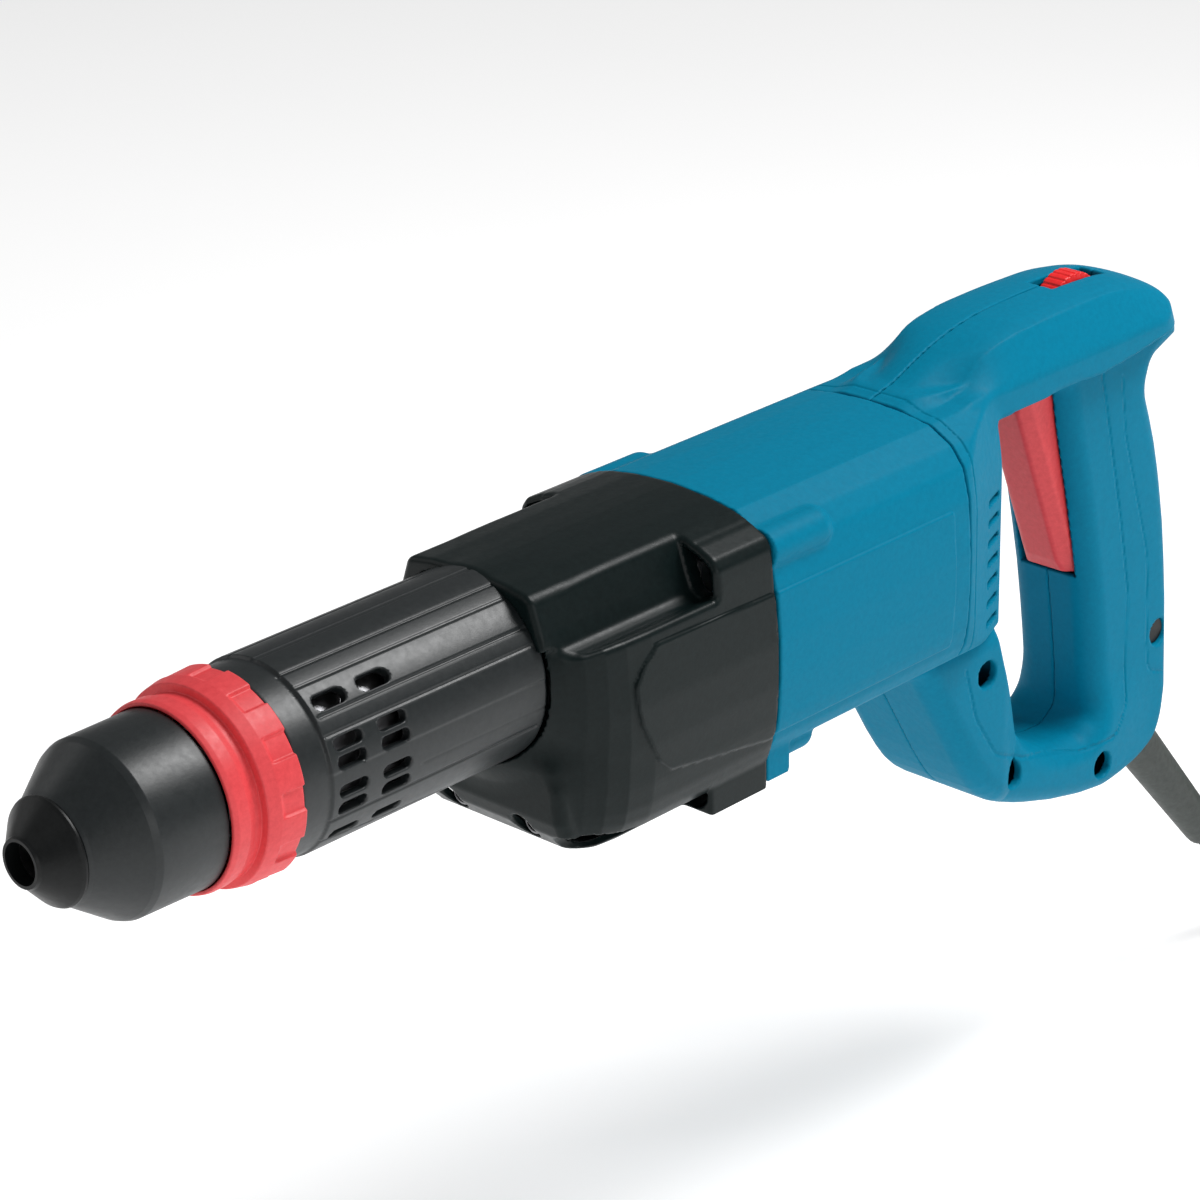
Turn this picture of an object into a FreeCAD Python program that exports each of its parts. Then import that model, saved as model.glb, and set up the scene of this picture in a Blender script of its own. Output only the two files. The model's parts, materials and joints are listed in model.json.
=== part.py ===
import FreeCAD, Part
import Sketcher
import math
import os

# Corded demolition hammer with a D-handle, in millimetres.
# Tool coordinates, used for every size below: x runs rearwards from the nose tip, z runs up from the
# striking axis, and the operator's left is -y. The row's frame has +X forward, +Y to the operator's left,
# +Z up and its origin at the middle of the hand grip, so each sub-part is placed by half a turn about Z.

SIZES = {
    # row frame
    "grip_x": 391.0,
    "grip_z": -45.0,
    # general fits
    "slip": 0.05,
    "gap": 0.1,
    # nose, chuck and change ring
    "bore_r": 5.05,
    "cap_base_x": 7.7,
    "cap_r": 13.1,
    "holder_front_x": 4.0,
    "holder_nose_r": 7.5,
    "holder_r": 11.0,
    "holder_rear_r": 15.0,
    "holder_step_x": 57.0,
    "holder_end_x": 92.0,
    "bolt_bore_r": 8.05,
    "bolt_bore_x": 71.0,
    "ball_r": 3.5,
    "ball_x": 31.0,
    "cover_r": 22.0,
    "cover_end_x": 41.5,
    "cover_wall": 2.4,
    "ring_r": 24.3,
    "ring_collar_r": 23.2,
    "ring_flange_x": 49.6,
    "ring_end_x": 61.3,
    # barrel
    "barrel_r": 24.6,
    "barrel_neck_r": 23.9,
    "barrel_front_x": 61.9,
    "barrel_rib_x": 70.0,
    "barrel_end_x": 141.5,
    "barrel_wall": 2.8,
    "sleeve_r": 19.5,
    "sleeve_wall": 3.0,
    "flange_r": 20.7,
    "sleeve_front_x": 70.0,
    "slot_long": 9.0,
    "slot_wide": 3.2,
    # striking mechanism
    "cylinder_r": 12.0,
    "cylinder_wall": 2.5,
    "cylinder_front_x": 93.0,
    "cylinder_end_x": 157.0,
    "bolt_end_x": 99.0,
    "striker_x": 107.0,
    "striker_end_x": 128.0,
    "piston_x": 139.0,
    "piston_end_x": 155.0,
    "eye_x": 172.0,
    "eye_half": 8.0,
    "finger_ball_r": 4.0,
    # intermediate shaft, swash drive and gears
    "inter_z": -30.5,
    "inter_r": 5.0,
    "inter_front_x": 149.5,
    "inter_end_x": 205.0,
    "swash_r": 17.0,
    "race_r": 13.1,
    "hub_r": 9.5,
    "swash_ball_r": 1.75,
    "gear_x": 187.0,
    "gear_wide": 8.0,
    "tooth_module": 1.0,
    "gear_teeth": 33,
    "pinion_teeth": 9,
    "bearing_r": 10.0,
    "bearing_wide": 7.0,
    # housings, as cross sections that run along x
    "case_front_x": 138.2,
    "case_end_x": 211.5,
    "motor_end_x": 288.6,
    "side_y": 35.1,
    "top_z": 26.2,
    "floor_z": -54.6,
    "wall": 3.0,
    "case_wall": 3.0,
    "plate_x": 197.0,
    "plate_wide": 11.0,
    "bolt_r": 2.4,
    "upper_bolt_y": 28.6,
    "upper_bolt_z": 14.0,
    "lower_bolt_y": 25.5,
    "lower_bolt_z": -44.5,
    # motor
    "motor_z": -9.5,
    "motor_r": 4.0,
    "shaft_front_x": 187.0,
    "shaft_end_x": 287.0,
    "core_r": 20.0,
    "core_x": 232.0,
    "core_end_x": 260.0,
    "stator_r": 29.4,
    "stator_bore_r": 20.8,
    "fan_x": 214.0,
    "fan_wide": 9.0,
    "fan_r": 27.0,
    "comm_x": 264.5,
    "comm_end_x": 276.0,
    "comm_r": 11.0,
    # handle
    "handle_x": 289.0,
    "arm_half": 20.8,
    "base_half": 18.0,
    "grip_half": 14.6,
    "shell": 2.6,
    # trigger and dial
    "trigger_half": 9.0,
    "pivot_x": 352.0,
    "pivot_z": 13.0,
    "dial_x": 374.0,
    "dial_z": 26.6,
    "dial_r": 11.4,
    "dial_wide": 7.0,
    # cord
    "cord_r": 4.0,
    "cord_exit_x": 408.5,
    "cord_exit_z": -112.0,
    "cord_angle": 49.0,
    "guard_long": 58.0,
    "floor_level": -205.0,
    "plug_x": 690.0,
    "plug_z": -187.0,
    "hank_x": 586.0,
    "hank_run": 60.0,
    "hank_mid_r": 29.0,
    "hank_turns_wide": 2,
    "hank_turns_high": 4,
}


class Size:
    """A length that carries its number and the spreadsheet expression that it comes from."""

    def __init__(self, value, text):
        self.value = float(value)
        self.text = text

    def __add__(self, other):
        other = as_size(other)
        return Size(self.value + other.value, f"({self.text} + {other.text})")

    def __radd__(self, other):
        return as_size(other) + self

    def __sub__(self, other):
        other = as_size(other)
        return Size(self.value - other.value, f"({self.text} - {other.text})")

    def __rsub__(self, other):
        return as_size(other) - self

    def __mul__(self, other):
        other = as_size(other)
        return Size(self.value * other.value, f"({self.text} * {other.text})")

    __rmul__ = __mul__

    def __truediv__(self, other):
        other = as_size(other)
        return Size(self.value / other.value, f"({self.text} / {other.text})")

    def __neg__(self):
        return Size(-self.value, f"(0 - {self.text})")


def as_size(number):
    """Return a plain number as a Size, and a Size as it is."""
    if isinstance(number, Size):
        return number
    return Size(number, f"({float(number):.6g})")


class Sheet:
    """The document's spreadsheet, read as attributes."""

    def __init__(self, document, sizes):
        sheet = document.addObject("Spreadsheet::Sheet", "Spec")
        for row, (alias, value) in enumerate(sizes.items(), start=1):
            sheet.set(f"A{row}", alias)
            sheet.set(f"B{row}", str(value))
            sheet.setAlias(f"B{row}", alias)
        for alias, value in sizes.items():
            setattr(self, alias, Size(value, f"Spec.{alias}"))


doc = FreeCAD.newDocument("DemolitionHammer")
spec = Sheet(doc, SIZES)
doc.recompute()
subparts = []


# ---------------------------------------------------------------- helpers

def bind(obj, prop, length):
    """Set a property and bind it to the spreadsheet."""
    length = as_size(length)
    obj.setExpression(prop, length.text)


def place(obj, x=0, y=0, z=0, rotation=None):
    """Put a construction object at a point in tool coordinates."""
    x, y, z = as_size(x), as_size(y), as_size(z)
    rotation = rotation or FreeCAD.Rotation()
    obj.Placement = FreeCAD.Placement(FreeCAD.Vector(x.value, y.value, z.value), rotation)
    bind(obj, "Placement.Base.x", x)
    bind(obj, "Placement.Base.y", y)
    bind(obj, "Placement.Base.z", z)
    return obj


def finish(obj, label, height=0):
    """Name a sub-part and turn it from tool coordinates into the row's frame."""
    half_turn = FreeCAD.Rotation(FreeCAD.Vector(0, 0, 1), 180)
    obj.Label = label
    place(obj, spec.grip_x, 0, as_size(height) - spec.grip_z, half_turn)
    subparts.append(obj)
    return obj


ALONG = {
    "x": FreeCAD.Rotation(FreeCAD.Vector(0, 1, 0), 90),
    "y": FreeCAD.Rotation(FreeCAD.Vector(1, 0, 0), -90),
    "z": FreeCAD.Rotation(),
}


def rod(name, axis, x, y, z, radius, length):
    """A cylinder along an axis, from its start point."""
    obj = doc.addObject("Part::Cylinder", name)
    bind(obj, "Radius", radius)
    bind(obj, "Height", length)
    return place(obj, x, y, z, ALONG[axis])


def block(name, x, y, z, length, width, height):
    """A box, from its lowest corner."""
    obj = doc.addObject("Part::Box", name)
    bind(obj, "Length", length)
    bind(obj, "Width", width)
    bind(obj, "Height", height)
    return place(obj, x, y, z)


def turned_block(name, x, low, turn, length, width, height):
    """A box turned about the x axis, from its lowest corner before the turn."""
    corner = turn.multVec(low)
    return place(block(name, x, 0, 0, length, width, height), x, corner.y, corner.z, turn)


def sphere(name, x, y, z, radius):
    """A ball, from its centre."""
    obj = doc.addObject("Part::Sphere", name)
    bind(obj, "Radius", radius)
    return place(obj, x, y, z)


def cone(name, axis, x, y, z, radius, end_radius, length):
    """A cone frustum along an axis."""
    obj = doc.addObject("Part::Cone", name)
    bind(obj, "Radius1", radius)
    bind(obj, "Radius2", end_radius)
    bind(obj, "Height", length)
    return place(obj, x, y, z, ALONG[axis])


def fuse(name, shapes):
    """One solid from several."""
    obj = doc.addObject("Part::MultiFuse", name)
    obj.Shapes = shapes
    obj.Refine = True
    return obj


def group(name, shapes):
    """Several separate solids in one sub-part."""
    obj = doc.addObject("Part::Compound", name)
    obj.Links = shapes
    return obj


def cut(name, base, tools):
    """A solid with others taken away from it."""
    tool = tools[0] if len(tools) == 1 else group(name + "Tools", tools)
    obj = doc.addObject("Part::Cut", name)
    obj.Base = base
    obj.Tool = tool
    obj.Refine = True
    return obj


def common(name, base, tool):
    """What two solids share."""
    obj = doc.addObject("Part::Common", name)
    obj.Base = base
    obj.Tool = tool
    return obj


def draw(sketch, outline):
    """Draw a closed outline of straight lines, each corner bound to the spreadsheet."""
    corners = [(as_size(a), as_size(b)) for a, b in outline]
    first = sketch.GeometryCount
    count = len(corners)
    for index in range(count):
        start = corners[index]
        end = corners[(index + 1) % count]
        sketch.addGeometry(Part.LineSegment(FreeCAD.Vector(start[0].value, start[1].value, 0),
                                            FreeCAD.Vector(end[0].value, end[1].value, 0)), False)
    for index in range(count):
        following = first + (index + 1) % count
        sketch.addConstraint(Sketcher.Constraint("Coincident", first + index, 2, following, 1))
    for index, (across, up) in enumerate(corners):
        line = first + index
        for kind, length in (("DistanceX", across), ("DistanceY", up)):
            number = sketch.addConstraint(Sketcher.Constraint(kind, -1, 1, line, 1, length.value))
            sketch.setExpression(f"Constraints[{number}]", length.text)


def origin_feature(body, role):
    """One of a body's own origin planes or axes."""
    return next(item for item in body.Origin.OriginFeatures if item.Role == role)


def sketch_on(body, name, role, outlines):
    """A sketch on one of a body's origin planes."""
    sketch = body.newObject("Sketcher::SketchObject", name)
    sketch.AttachmentSupport = (origin_feature(body, role), [""])
    sketch.MapMode = "FlatFace"
    for outline in outlines:
        draw(sketch, outline)
    return sketch


def turned(label, outline):
    """A solid turned about its own x axis from (x, radius) corners."""
    body = doc.addObject("PartDesign::Body", label + "_body")
    sketch = sketch_on(body, label + "_profile", "XZ_Plane", [outline])
    turn = body.newObject("PartDesign::Revolution", label + "_turn")
    turn.Profile = sketch
    turn.ReferenceAxis = (origin_feature(body, "X_Axis"), [""])
    turn.Angle = 360.0
    return body


def tube(label, x, end_x, bore, outer, height=0):
    """A plain sleeve, ring or bearing."""
    body = turned(label, [(x, bore), (end_x, bore), (end_x, outer), (x, outer)])
    return finish(body, label, height)


def extruded(name, plane, outlines, start, length):
    """A prism from outlines in the YZ plane (along x), the XZ plane (along -y) or the XY plane (along z)."""
    sketch = doc.addObject("Sketcher::SketchObject", name + "_section")
    if plane == "YZ":
        sketch.Placement = FreeCAD.Placement(FreeCAD.Vector(), FreeCAD.Rotation(FreeCAD.Vector(1, 1, 1), 120))
        bind(sketch, "Placement.Base.x", start)
    elif plane == "XZ":
        sketch.Placement = FreeCAD.Placement(FreeCAD.Vector(), FreeCAD.Rotation(FreeCAD.Vector(1, 0, 0), 90))
        bind(sketch, "Placement.Base.y", start)
    else:
        bind(sketch, "Placement.Base.z", start)
    for outline in outlines:
        draw(sketch, outline)
    return prism(name, sketch, length)


def prism(name, profile, length, back=0):
    """A flat profile pushed along its normal. An inset profile's normal points the other way."""
    obj = doc.addObject("Part::Extrusion", name)
    obj.Base = profile
    obj.DirMode = "Normal"
    obj.Reversed = profile.TypeId == "Part::Offset2D"
    obj.Solid = True
    bind(obj, "LengthFwd", length)
    bind(obj, "LengthRev", back)
    return obj


def inset(name, profile, distance):
    """A profile moved inwards by a wall's thickness."""
    obj = doc.addObject("Part::Offset2D", name)
    obj.Source = profile
    bind(obj, "Value", -as_size(distance))
    obj.Join = "Intersection"
    return obj


# ---------------------------------------------------------------- nose, chuck and change ring

def make_dust_cap():
    neck_r = spec.holder_r - 0.2
    seat_r = spec.holder_nose_r + spec.slip
    outline = [
        (0, spec.bore_r), (0, spec.bore_r + 0.7), (spec.cap_base_x, spec.cap_r),
        (spec.cap_base_x + 0.8, spec.cap_r), (spec.cap_base_x + 0.8, neck_r),
        (spec.cap_base_x + 8, neck_r), (spec.cap_base_x + 8, seat_r),
        (spec.holder_front_x - spec.gap, seat_r), (spec.holder_front_x - spec.gap, spec.bore_r),
    ]
    finish(turned("dust_cap", outline), "dust_cap")


def make_tool_holder():
    nose_end_x = spec.cap_base_x + 8 + spec.gap
    outline = [
        (spec.holder_front_x, spec.bore_r), (spec.holder_front_x, spec.holder_nose_r),
        (nose_end_x, spec.holder_nose_r), (nose_end_x, spec.holder_r),
        (spec.holder_step_x, spec.holder_r), (spec.holder_step_x, spec.holder_rear_r),
        (spec.holder_end_x, spec.holder_rear_r), (spec.holder_end_x, spec.bolt_bore_r),
        (spec.bolt_bore_x, spec.bolt_bore_r), (spec.bolt_bore_x, spec.bore_r),
    ]
    sleeve = turned("holder_sleeve", outline)
    half_slot = spec.ball_r + spec.slip
    slots = []
    for index, side in enumerate((-1, 1)):
        low = spec.bore_r - 1 if side > 0 else -spec.holder_r - 1
        slots.append(block(f"ball_slot_{index}", spec.ball_x - half_slot - 2, -half_slot, low,
                           2 * half_slot + 4, 2 * half_slot, spec.holder_r - spec.bore_r + 2))
    finish(cut("tool_holder_shape", sleeve, slots), "tool_holder")


def make_locking_balls():
    height = spec.bore_r + spec.ball_r + spec.gap
    balls = [sphere(f"locking_ball_{index}", spec.ball_x, 0, height * side, spec.ball_r)
             for index, side in enumerate((-1, 1))]
    finish(group("locking_balls_shape", balls), "locking_balls")


def make_chuck_cover():
    hole_r = spec.holder_r + spec.slip
    front_x = spec.cap_base_x + 0.9
    inner_r = spec.cover_r - spec.cover_wall
    outline = [
        (front_x, hole_r), (front_x, spec.cap_r), (front_x + 4.6, spec.cap_r + 4.8),
        (front_x + 8.6, spec.cover_r - 1.5), (front_x + 13.5, spec.cover_r - 0.4),
        (spec.cover_end_x - 0.1, spec.cover_r), (spec.cover_end_x - 0.1, inner_r),
        (front_x + 13.5, inner_r), (front_x + 8, inner_r - 3.5), (front_x + 3.6, hole_r + 0.1),
    ]
    finish(turned("chuck_cover", outline), "chuck_cover")


def make_change_ring():
    bore_r = spec.cover_r + 0.15
    flange_r = spec.holder_rear_r + spec.slip
    web_x = spec.ring_end_x - 3.8
    outline = [
        (spec.cover_end_x, bore_r), (spec.cover_end_x, spec.ring_collar_r),
        (spec.ring_flange_x - 2, spec.ring_collar_r - 0.4), (spec.ring_flange_x, spec.ring_r),
        (spec.ring_end_x, spec.ring_r), (spec.ring_end_x, flange_r), (web_x, flange_r), (web_x, bore_r),
    ]
    finish(turned("change_ring", outline), "change_ring")


def make_barrel_cover():
    inner_r = spec.barrel_r - spec.barrel_wall
    outline = [
        (spec.barrel_front_x, inner_r), (spec.barrel_front_x, spec.barrel_neck_r),
        (spec.barrel_rib_x - 1, spec.barrel_neck_r), (spec.barrel_rib_x, spec.barrel_r),
        (spec.barrel_end_x, spec.barrel_r), (spec.barrel_end_x, inner_r),
    ]
    sleeve = turned("barrel_sleeve", outline)
    slots = []
    for row, angle in enumerate((43, 67, 90, 113)):
        for column in range(2):
            for side in (-1, 1):
                turn = FreeCAD.Rotation(FreeCAD.Vector(1, 0, 0), -angle * side)
                low = FreeCAD.Vector(0, -spec.slot_wide.value / 2, inner_r.value - 2)
                slots.append(turned_block(f"air_slot_{row}_{column}_{side + 1}",
                                          spec.barrel_rib_x + 4.5 + 13.5 * column, low, turn,
                                          spec.slot_long, spec.slot_wide, 8))
    finish(cut("barrel_cover_shape", sleeve, slots), "barrel_cover")


def make_chuck():
    ring_front_x = spec.ball_x - 5
    make_dust_cap()
    make_tool_holder()
    make_locking_balls()
    make_chuck_cover()
    make_change_ring()
    outer_r = spec.bore_r + 2 * spec.ball_r + 0.3
    tube("release_ring", ring_front_x, ring_front_x + 11, outer_r, outer_r + 3)
    tube("chuck_spring", ring_front_x + 11.1, spec.holder_step_x - spec.gap, spec.holder_r + 1, spec.holder_r + 3.2)


# ---------------------------------------------------------------- barrel and striking mechanism

def make_index_ring():
    inner_r = spec.holder_rear_r + 0.4
    ring = turned("index_blank", [
        (spec.barrel_front_x, inner_r), (spec.barrel_front_x + 3, inner_r),
        (spec.barrel_front_x + 3, spec.barrel_neck_r - 2.4), (spec.barrel_front_x, spec.barrel_neck_r - 2.4),
    ])
    notches = []
    for step in range(12):
        turn = FreeCAD.Rotation(FreeCAD.Vector(1, 0, 0), 30 * step)
        low = FreeCAD.Vector(0, -1, 17.5)
        notches.append(turned_block(f"index_notch_{step}", spec.barrel_front_x - 1, low, turn, 2.4, 2, 3))
    finish(cut("index_ring_shape", ring, notches), "index_ring")


def make_barrel():
    make_barrel_cover()
    make_index_ring()
    seat_r = spec.sleeve_r - spec.sleeve_wall
    sleeve = turned("cylinder_housing", [
        (spec.sleeve_front_x, seat_r), (spec.sleeve_front_x, spec.sleeve_r),
        (spec.case_front_x + 1.7, spec.sleeve_r), (spec.case_front_x + 1.7, spec.flange_r),
        (spec.case_front_x + 5, spec.flange_r), (spec.case_front_x + 5, spec.sleeve_r),
        (spec.case_front_x + 12, spec.sleeve_r), (spec.case_front_x + 12, spec.cylinder_r + spec.cylinder_wall + 0.1),
        (spec.cylinder_front_x - 1, spec.cylinder_r + spec.cylinder_wall + 0.1), (spec.cylinder_front_x - 1, seat_r),
    ])
    finish(sleeve, "cylinder_housing")
    tube("oil_seal", 65.8, 69.9, spec.holder_rear_r + spec.slip, seat_r + 1.5)
    tube("holder_bush", 70.5, 84.5, spec.holder_rear_r + 0.02, seat_r - 0.02)
    tube("cylinder", spec.cylinder_front_x, spec.cylinder_end_x, spec.cylinder_r + spec.slip,
         spec.cylinder_r + spec.cylinder_wall)
    tube("bolt_damper", spec.cylinder_front_x + 1.5, spec.cylinder_front_x + 4.5, 6.4, spec.cylinder_r)
    bolt = turned("impact_bolt", [
        (spec.bolt_bore_x + 7, 0), (spec.bolt_bore_x + 7, 6), (spec.bolt_bore_x + 9, spec.bolt_bore_r - spec.slip),
        (spec.holder_end_x - 2, spec.bolt_bore_r - spec.slip), (spec.holder_end_x - 1, 6),
        (spec.bolt_end_x, 6), (spec.bolt_end_x, 0),
    ])
    finish(bolt, "impact_bolt")
    groove_x = spec.striker_end_x - 7
    striker = turned("striker", [
        (spec.striker_x, 0), (spec.striker_x, 5.4), (spec.striker_x + 5, 6), (spec.striker_x + 6, spec.cylinder_r - 0.02),
        (groove_x, spec.cylinder_r - 0.02), (groove_x, spec.cylinder_r - 2), (groove_x + 2.4, spec.cylinder_r - 2),
        (groove_x + 2.4, spec.cylinder_r - 0.02), (spec.striker_end_x, spec.cylinder_r - 0.02), (spec.striker_end_x, 0),
    ])
    finish(striker, "striker")
    tube("striker_ring", groove_x + 0.2, groove_x + 2.2, spec.cylinder_r - 1.95, spec.cylinder_r)


def make_piston():
    head = turned("piston_head", [
        (spec.piston_x, 0), (spec.piston_x, spec.cylinder_r - 0.02), (spec.piston_end_x, spec.cylinder_r - 0.02),
        (spec.piston_end_x, 9), (spec.piston_x + 5, 9), (spec.piston_x + 5, 0),
    ])
    tail_end_x = spec.eye_x - spec.eye_half
    tail = rod("piston_tail", "x", spec.piston_x + 4, 0, 2, 4, tail_end_x - spec.piston_x - 3)
    eye = block("piston_eye", tail_end_x, -7, -2.2, 2 * spec.eye_half, 14, 8.2)
    half_gap = spec.finger_ball_r + 0.25
    slot = block("piston_eye_slot", spec.eye_x - half_gap, -4.6, -3, 2 * half_gap, 9.2, 10)
    finish(cut("piston_shape", fuse("piston_blank", [head, tail, eye]), [slot]), "piston")


# ---------------------------------------------------------------- intermediate shaft, swash drive and gears

def gear_outline(teeth, first_angle, root_shift=0.0):
    """Corners of a spur gear in the YZ plane, with straight-sided teeth that leave running clearance."""
    module = SIZES["tooth_module"]
    pitch_r = module * teeth / 2
    tip_r = pitch_r + 0.85 * module
    root_r = pitch_r - 1.15 * module - root_shift
    pitch_angle = 2 * math.pi / teeth
    corners = []
    for tooth in range(teeth):
        middle = math.radians(first_angle) + tooth * pitch_angle
        for radius, share in ((root_r, -0.27), (tip_r, -0.11), (tip_r, 0.11), (root_r, 0.27)):
            angle = middle + share * pitch_angle
            corners.append(FreeCAD.Vector(0, radius * math.cos(angle), radius * math.sin(angle)))
    corners.append(corners[0])
    return corners


def gear(name, teeth, first_angle, start_x, length):
    """A spur gear along x, its teeth set by the module and the number of teeth."""
    obj = doc.addObject("Part::Feature", name)
    face = Part.Face(Part.makePolygon(gear_outline(teeth, first_angle)))
    blank = face.extrude(FreeCAD.Vector(length.value, 0, 0))
    blank.translate(FreeCAD.Vector(start_x.value, 0, 0))
    obj.Shape = blank
    return obj


def make_gear_train():
    shaft = turned("intermediate_shaft", [
        (spec.inter_front_x, 0), (spec.inter_front_x, spec.inter_r), (spec.inter_end_x, spec.inter_r),
        (spec.inter_end_x, 0),
    ])
    finish(shaft, "intermediate_shaft", spec.inter_z)
    half_hub = 6.5
    hub_ball = sphere("hub_ball", spec.eye_x, 0, 0, spec.hub_r)
    hub_slab = rod("hub_slab", "x", spec.eye_x - half_hub, 0, 0, spec.hub_r + 1, 2 * half_hub)
    hub_bore = rod("hub_bore", "x", spec.eye_x - 12, 0, 0, spec.inter_r + 0.02, 24)
    swash_tilt = 14.5
    groove = doc.addObject("Part::Torus", "hub_groove")
    bind(groove, "Radius1", spec.race_r - spec.swash_ball_r - spec.gap)
    bind(groove, "Radius2", spec.swash_ball_r + spec.slip)
    groove.Placement = FreeCAD.Placement(FreeCAD.Vector(spec.eye_x.value, 0, 0),
                                         FreeCAD.Rotation(FreeCAD.Vector(0, 1, 0), 90 - swash_tilt))
    bind(groove, "Placement.Base.x", spec.eye_x)
    hub = cut("swash_hub_shape", common("hub_blank", hub_ball, hub_slab), [hub_bore, groove])
    finish(hub, "swash_hub", spec.inter_z)
    balls = []
    count = 12
    for index in range(count):
        around = 2 * math.pi * index / count
        middle = groove.Placement.Rotation.multVec(FreeCAD.Vector(math.cos(around), math.sin(around), 0))
        middle *= spec.race_r.value - spec.swash_ball_r.value - spec.gap.value
        balls.append(sphere(f"swash_ball_{index}", spec.eye_x + middle.x, middle.y, middle.z, spec.swash_ball_r))
    finish(group("swash_balls_shape", balls), "swash_balls", spec.inter_z)
    toothed = gear("gear_teeth_blank", SIZES["gear_teeth"], 90 + 180 / SIZES["gear_teeth"], spec.gear_x, spec.gear_wide)
    bore = rod("gear_bore", "x", spec.gear_x - 1, 0, 0, spec.inter_r + 0.02, spec.gear_wide + 2)
    finish(cut("drive_gear_shape", toothed, [bore]), "drive_gear", spec.inter_z)
    tube("intermediate_front_bearing", spec.inter_front_x, spec.inter_front_x + spec.bearing_wide,
         spec.inter_r + 0.02, spec.bearing_r - 1, spec.inter_z)
    tube("intermediate_rear_bearing", spec.plate_x + 1, spec.plate_x + 1 + spec.bearing_wide,
         spec.inter_r + 0.02, spec.bearing_r - 1, spec.inter_z)


def make_swash_arm():
    ring = rod("swash_ring", "x", spec.eye_x - 4.5, 0, spec.inter_z, spec.swash_r, 9)
    race = sphere("swash_race", spec.eye_x, 0, spec.inter_z, spec.race_r)
    finger = rod("swash_finger", "z", spec.eye_x, 0, spec.inter_z + spec.race_r + 1, 3.1, spec.race_r + 4.5)
    ball = sphere("finger_ball", spec.eye_x, 0, 0, spec.finger_ball_r)
    trunnions = [rod(f"swash_trunnion_{index}", "y", spec.eye_x, y, spec.inter_z, 2.5, 3.5)
                 for index, y in enumerate((-18.6, 15.1))]
    rim = cut("swash_ring_shape", ring, [race])
    finish(fuse("swash_arm_shape", [rim, finger, ball] + trunnions), "swash_arm")


# ---------------------------------------------------------------- housings

def both_sides(half):
    """A closed outline from its right-hand corners, mirrored to the left."""
    mirrored = [(-as_size(across), up) for across, up in reversed(half)]
    return half + mirrored


def main_section(top_z, side_y):
    return both_sides([
        (20.5, top_z - 2.4), (31, top_z - 6.6), (34.2, top_z - 11.5), (side_y, -8), (34.4, -33), (27, -43),
    ])


def case_section():
    return both_sides([(14, 20.6), (22.4, 14), (22.4, -38), (14.5, -51.2)])


BOLTS = [(side * y, z) for y, z in ((spec.upper_bolt_y, spec.upper_bolt_z), (spec.lower_bolt_y, spec.lower_bolt_z))
         for side in (1, -1)]
BOLT_HEAD_X = 199.0
BOLT_END_X = 231.0


def bolt_rods(name, start_x, end_x, radius):
    """Cylinders along all four housing bolts."""
    return [rod(f"{name}_{index}", "x", start_x, y, z, radius, as_size(end_x) - start_x)
            for index, (y, z) in enumerate(BOLTS)]


def make_gear_housing():
    start_x = spec.case_front_x
    long = spec.case_end_x - start_x
    shell = extruded("case_shell", "YZ", [main_section(spec.top_z, spec.side_y)], start_x, long)
    belly = extruded("case_belly", "YZ", [both_sides([(28, -36), (28, -42), (20.5, -50.5), (15, spec.floor_z)])], 141.5, 70)
    room = prism("case_room", inset("case_room_outline", doc.case_shell_section, spec.wall), long - spec.wall)
    place(room, spec.wall)
    belly_room = prism("belly_room", inset("belly_room_outline", doc.case_belly_section, 2.8), 61.5)
    place(belly_room, 5.3)
    bosses = bolt_rods("case_boss", 184, spec.case_end_x, 5.6)
    solid = cut("case_open", fuse("case_outer", [shell, belly]), [room, belly_room])
    mouth = rod("case_mouth", "x", start_x - 1, 0, 0, spec.barrel_r + spec.gap, spec.wall + 2)
    pockets = bolt_rods("case_pocket", 176, BOLT_HEAD_X + 4.5, 4.5)
    holes = bolt_rods("case_bolt_hole", BOLT_HEAD_X, spec.case_end_x + 1, spec.bolt_r + spec.slip)
    screw_holes = []
    for index, side in enumerate((1, -1)):
        screw_holes.append(rod(f"belly_head_hole_{index}", "x", 137, 12.3 * side, -41, 3.8, 7))
        screw_holes.append(rod(f"belly_screw_hole_{index}", "x", 137, 12.3 * side, -41, 2.1, 11))
    finish(cut("gear_housing_shape", fuse("case_bossed", [solid] + bosses), [mouth] + pockets + holes + screw_holes),
           "gear_housing")


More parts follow.
